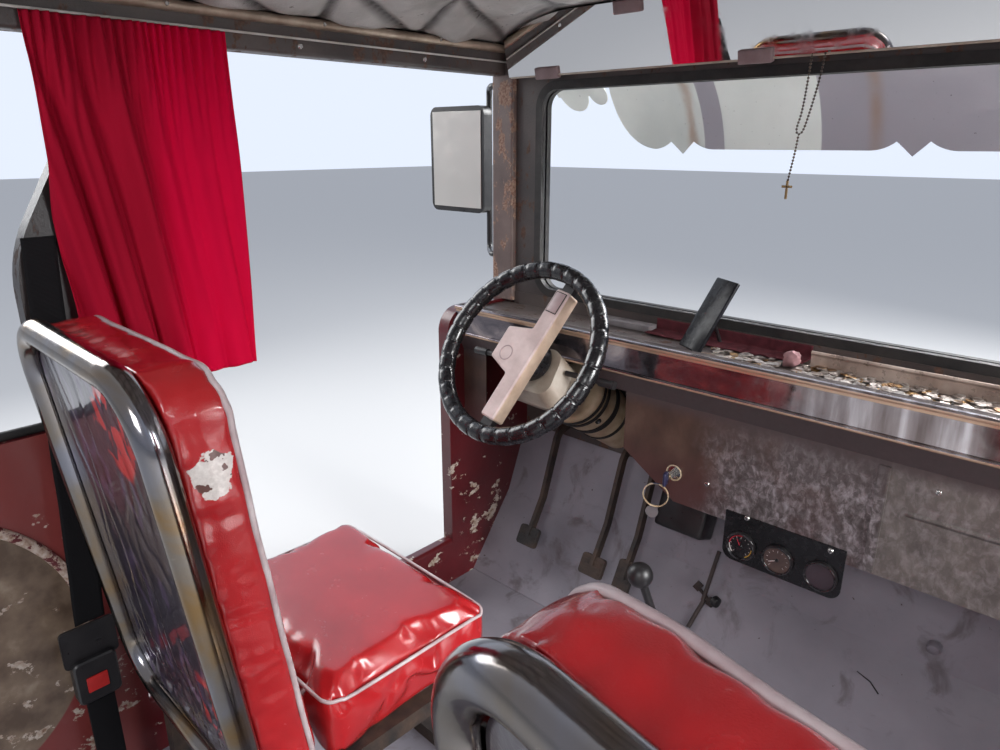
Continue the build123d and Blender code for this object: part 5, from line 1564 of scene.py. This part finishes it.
# %% Linkage
rusted_steel = moulded("rusted_steel", (64, 50, 46), (42, 36, 36), 0.6, 0.004, 0.0006)
toe_form = bmesh.new()
block(toe_form, (0.125, 0.070, 0.120), standing(-0.2275, 0.6135, 0.404, turn_x=-22.1), 0.008, 3)
rod(toe_form, (-0.139, 0.612, 0.322), (-0.142, 0.556, 0.214), 0.0048, 0.0048, 14, material=1)
rod(toe_form, (-0.172, 0.574, 0.238), (-0.158, 0.574, 0.230), 0.011, 0.011, 6, material=1)
rod(toe_form, (-0.131, 0.563, 0.216), (-0.117, 0.560, 0.214), 0.011, 0.011, 6, material=1)
rod(toe_form, (-0.118, 0.564, 0.221), (-0.106, 0.560, 0.221), 0.014, 0.012, 18, 0.002)
rod(toe_form, (-0.140, 0.560, 0.216), (-0.152, 0.514, 0.158), 0.005, 0.005, 12, material=1)
rod(toe_form, (-0.165, 0.572, 0.233), (-0.125, 0.560, 0.216), 0.004, 0.004, 10, material=1)
rod(toe_form, (0.316, 0.622, 0.299), (0.316, 0.606, 0.294), 0.014, 0.012, 20, 0.002, material=2)
for start, end in (
    ((0.202, 0.562, 0.2075), (0.230, 0.556, 0.2015)), ((0.230, 0.556, 0.2015), (0.250, 0.546, 0.1895))
):
    rod(toe_form, start, end, 0.0014, 0.0014, 8)
show("toe_board_linkage", toe_form, black_plastic, rusted_steel, floor_paint)
print("housing, rods and boss")

# %% [markdown]
# ## Mirror edge and clips
# The long mirror over the screen has a pale strip along its lower edge, and plastic clips hold it to the
# header. They are placed in the mirror's own leaning frame.

# %% Mirror edge and clips
clip_mauve = moulded("clip_mauve", (150, 128, 128), (120, 100, 100), 0.5)
strip_beige = moulded("strip_beige", (196, 184, 168), (158, 142, 126), 0.4)
MIRROR_TIP = math.radians(14.0)
leaning = Matrix.Translation((0, 0.570, 1.390)) @ Matrix.Rotation(MIRROR_TIP, 4, "X")
mirror_form = bmesh.new()
block(mirror_form, (1.530, 0.009, 0.004), leaning @ Matrix.Translation((0, -0.0030, -0.0015)), 0.001, 2)
for clip_x, clip_up in ((-0.149, 0.004), (-0.650, 0.004), (0.450, 0.004), (-0.419, 0.118)):
    block(
        mirror_form,
        (0.066, 0.016, 0.026),
        leaning @ Matrix.Translation((clip_x, -0.006, clip_up)),
        0.003,
        3,
        material=1,
    )
show("mirror_clips", mirror_form, strip_beige, clip_mauve)
door_glass_form = bmesh.new()
for side in (-1, 1):
    block(door_glass_form, (0.190, 0.002, 0.255), standing(side * 1.019, 0.6205, 1.1925), 0.0008, 1)
show("door_mirror_glass", door_glass_form, door_mirror)
print("mirror edge, four clips and two outside glasses")

# %% [markdown]
# ## String of beads
# A loop of dark beads on a thin cord hangs from the mirror's edge, and a shorter tail with a small plain
# cross hangs from the loop. The cord is a smooth curve. The beads are strung at even distances along points
# read from it, so that they sit on the cord whatever its shape.

# %% String of beads
bead_dark = moulded("bead_dark", (66, 54, 46), (96, 80, 64), 0.3)
cross_brown = moulded("cross_brown", (150, 124, 80), (112, 90, 60), 0.4)


def thin_cord(name, points, diameter):
    """A cord along points; returns its object, the places along it and its length."""
    curve = bpy.data.curves.new(name, "CURVE")
    curve.dimensions = "3D"
    curve.resolution_u = 12
    line = curve.splines.new("NURBS")
    line.points.add(len(points) - 1)
    for spline_point, place in zip(line.points, points):
        spline_point.co = (*place, 1)
    line.order_u = 3
    line.use_endpoint_u = True
    cord_object = bpy.data.objects.new(name, curve)
    bpy.context.scene.collection.objects.link(cord_object)
    bare = bpy.data.meshes.new_from_object(cord_object.evaluated_get(bpy.context.evaluated_depsgraph_get()))
    track = [point.co.copy() for point in bare.vertices]
    bpy.data.meshes.remove(bare)
    curve.bevel_depth = diameter / 2
    curve.bevel_resolution = 2
    curve.use_fill_caps = True
    curve.materials.append(black_webbing)
    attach(cord_object, "cab")
    return cord_object, track, sum((b - a).length for a, b in zip(track, track[1:]))


def string_beads(form, track, radius, gap):
    """Beads at even distances along a track."""
    walked, due = 0.0, gap
    for a, b in zip(track, track[1:]):
        span = (b - a).length
        while due <= walked + span:
            place = Matrix.Translation(a.lerp(b, (due - walked) / span))
            bmesh.ops.create_icosphere(form, subdivisions=2, radius=radius, matrix=place)
            due += gap
        walked += span


BEAD_Y, BEAD_R, BEAD_GAP, CORD_WIDE = 0.556, 0.0023, 0.0058, 0.0012
loop_run = [(-0.042, 1.389), (-0.044, 1.340), (-0.048, 1.287), (-0.0545, 1.265), (-0.0525, 1.2535)]
loop_run += [(-0.045, 1.2535), (-0.0395, 1.265), (-0.030, 1.310), (-0.022, 1.355), (-0.019, 1.389)]
loop_points = [(x, BEAD_Y, z) for x, z in loop_run]
bead_loop, loop_track, loop_length = thin_cord("bead_loop_cord", loop_points, CORD_WIDE)
lowest = min(loop_track, key=lambda place: place.z)
tail_points = [
    lowest + Vector((x, 0, z)) for x, z in ((0, 0), (-0.002, -0.028), (-0.006, -0.056), (-0.010, -0.084))
]
bead_tail, tail_track, tail_length = thin_cord("bead_tail_cord", tail_points, CORD_WIDE)
beads_form = bmesh.new()
string_beads(beads_form, loop_track, BEAD_R, BEAD_GAP)
loop_beads = show("loop_beads", beads_form, bead_dark, smooth=0)
beads_form = bmesh.new()
string_beads(beads_form, tail_track[:-1], BEAD_R, BEAD_GAP)
tail_beads = show("tail_beads", beads_form, bead_dark, smooth=0)
cross_form = bmesh.new()
hang = tail_track[-1]
block(cross_form, (0.0045, 0.003, 0.034), Matrix.Translation(hang + Vector((0, 0, -0.015))), 0.0008, 1)
block(cross_form, (0.020, 0.003, 0.0045), Matrix.Translation(hang + Vector((0, 0, -0.009))), 0.0008, 1)
plain_cross = show("plain_cross", cross_form, cross_brown)
print("bead loop", round(loop_length, 3), "m, tail", round(tail_length, 3), "m")

# %% [markdown]
# ## Belt
# The webbing comes down from the door post to its tongue and twists a little on the way. A grid bent along
# the line stands for it, and the buckle gets a red button and a webbing sleeve on its strap.

# %% Belt
belt_top, belt_end, BELT_WIDE = Vector((-0.7975, -0.492, 1.100)), Vector((-0.743, -0.540, 0.4505)), 0.048
belt_run = belt_end - belt_top
belt_form = bmesh.new()
bmesh.ops.create_grid(belt_form, x_segments=8, y_segments=90, size=0.5)
for point in belt_form.verts:
    across, along = point.co.x * BELT_WIDE, point.co.y + 0.5
    sway = 0.004 * math.sin(math.pi * along) ** 2 * math.sin(along * 9) + 0.0012 * math.sin(along * 31)
    twist = math.radians(7) * math.sin(along * 7.5) * math.sin(math.pi * along)
    aside = Vector((sway + across * math.sin(twist), across * math.cos(twist), 0))
    point.co = belt_top + belt_run * along + aside
belt_strip = show("belt_strip", belt_form, black_webbing, smooth=0)
thicken(belt_strip, 0.0014)
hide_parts("belt_webbing")
button_red = moulded("button_red", (190, 34, 30), (150, 26, 24), 0.4)
button_form = bmesh.new()
block(button_form, (0.004, 0.034, 0.029), standing(-0.728, -0.550, 0.338), 0.001, 2)
block(button_form, (0.0075, 0.046, 0.236), standing(-0.743, -0.548, 0.183), 0.0012, 2, material=1)
show("buckle_button", button_form, button_red, black_webbing)
print("belt", round(belt_run.length, 3), "m")

# %% [markdown]
# ## Side wall edges
# Rubber covers the sill of each side window, and low down a pressed ridge curves round the wheel housing. The
# ridge is where feet scrape, so its paint has peeled most.

# %% Side wall edges
peeled_paint = finish("peeled_paint", (176, 160, 148), 0.7)
bare = ramp(peeled_paint, grain(peeled_paint, 0.025, 9, (1, 1, 1.4), 0.7), 0.44, 0.47)
flaked = steps(
    peeled_paint,
    grain(peeled_paint, 0.01, 6),
    (0.4, (186, 170, 158)),
    (0.62, (150, 124, 108)),
    (0.75, (104, 66, 46)),
)
wire_up(
    peeled_paint,
    colour=blend(peeled_paint, bare, (88, 24, 30), flaked),
    height=plus(peeled_paint, times(peeled_paint, bare, -0.7), grain(peeled_paint, 0.004, 4)),
    lift=0.0008,
)
wall_form = bmesh.new()
for side in (-1, 1):
    rod(wall_form, (side * 0.8175, -0.699, 0.789), (side * 0.8175, -0.531, 0.789), 0.0085, 0.0085, 20, 0.002)
    for face in wall_form.faces:
        face.material_index = 1
for side in (-1, 1):
    arch = standing(side * 0.7985, ARCH_Y, ARCH_Z, turn_y=90) @ swung(80, "Z")
    ring(wall_form, arch, ARCH_R, 0.009, 12, 44, sweep=76.0)
bmesh.ops.holes_fill(wall_form, edges=[edge for edge in wall_form.edges if edge.is_boundary], sides=12)
show("side_wall_edges", wall_form, peeled_paint, black_rubber)
print("rubber on the sills and ridges round the wheel housings")

# %% [markdown]
# ## Sizes
# The box that the whole dressed cab fills is printed. The visual model may not be
# larger than the solids.

# %% Sizes
low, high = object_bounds()
print("dressed cab reaches from", [round(v, 3) for v in low], "to", [round(v, 3) for v in high])
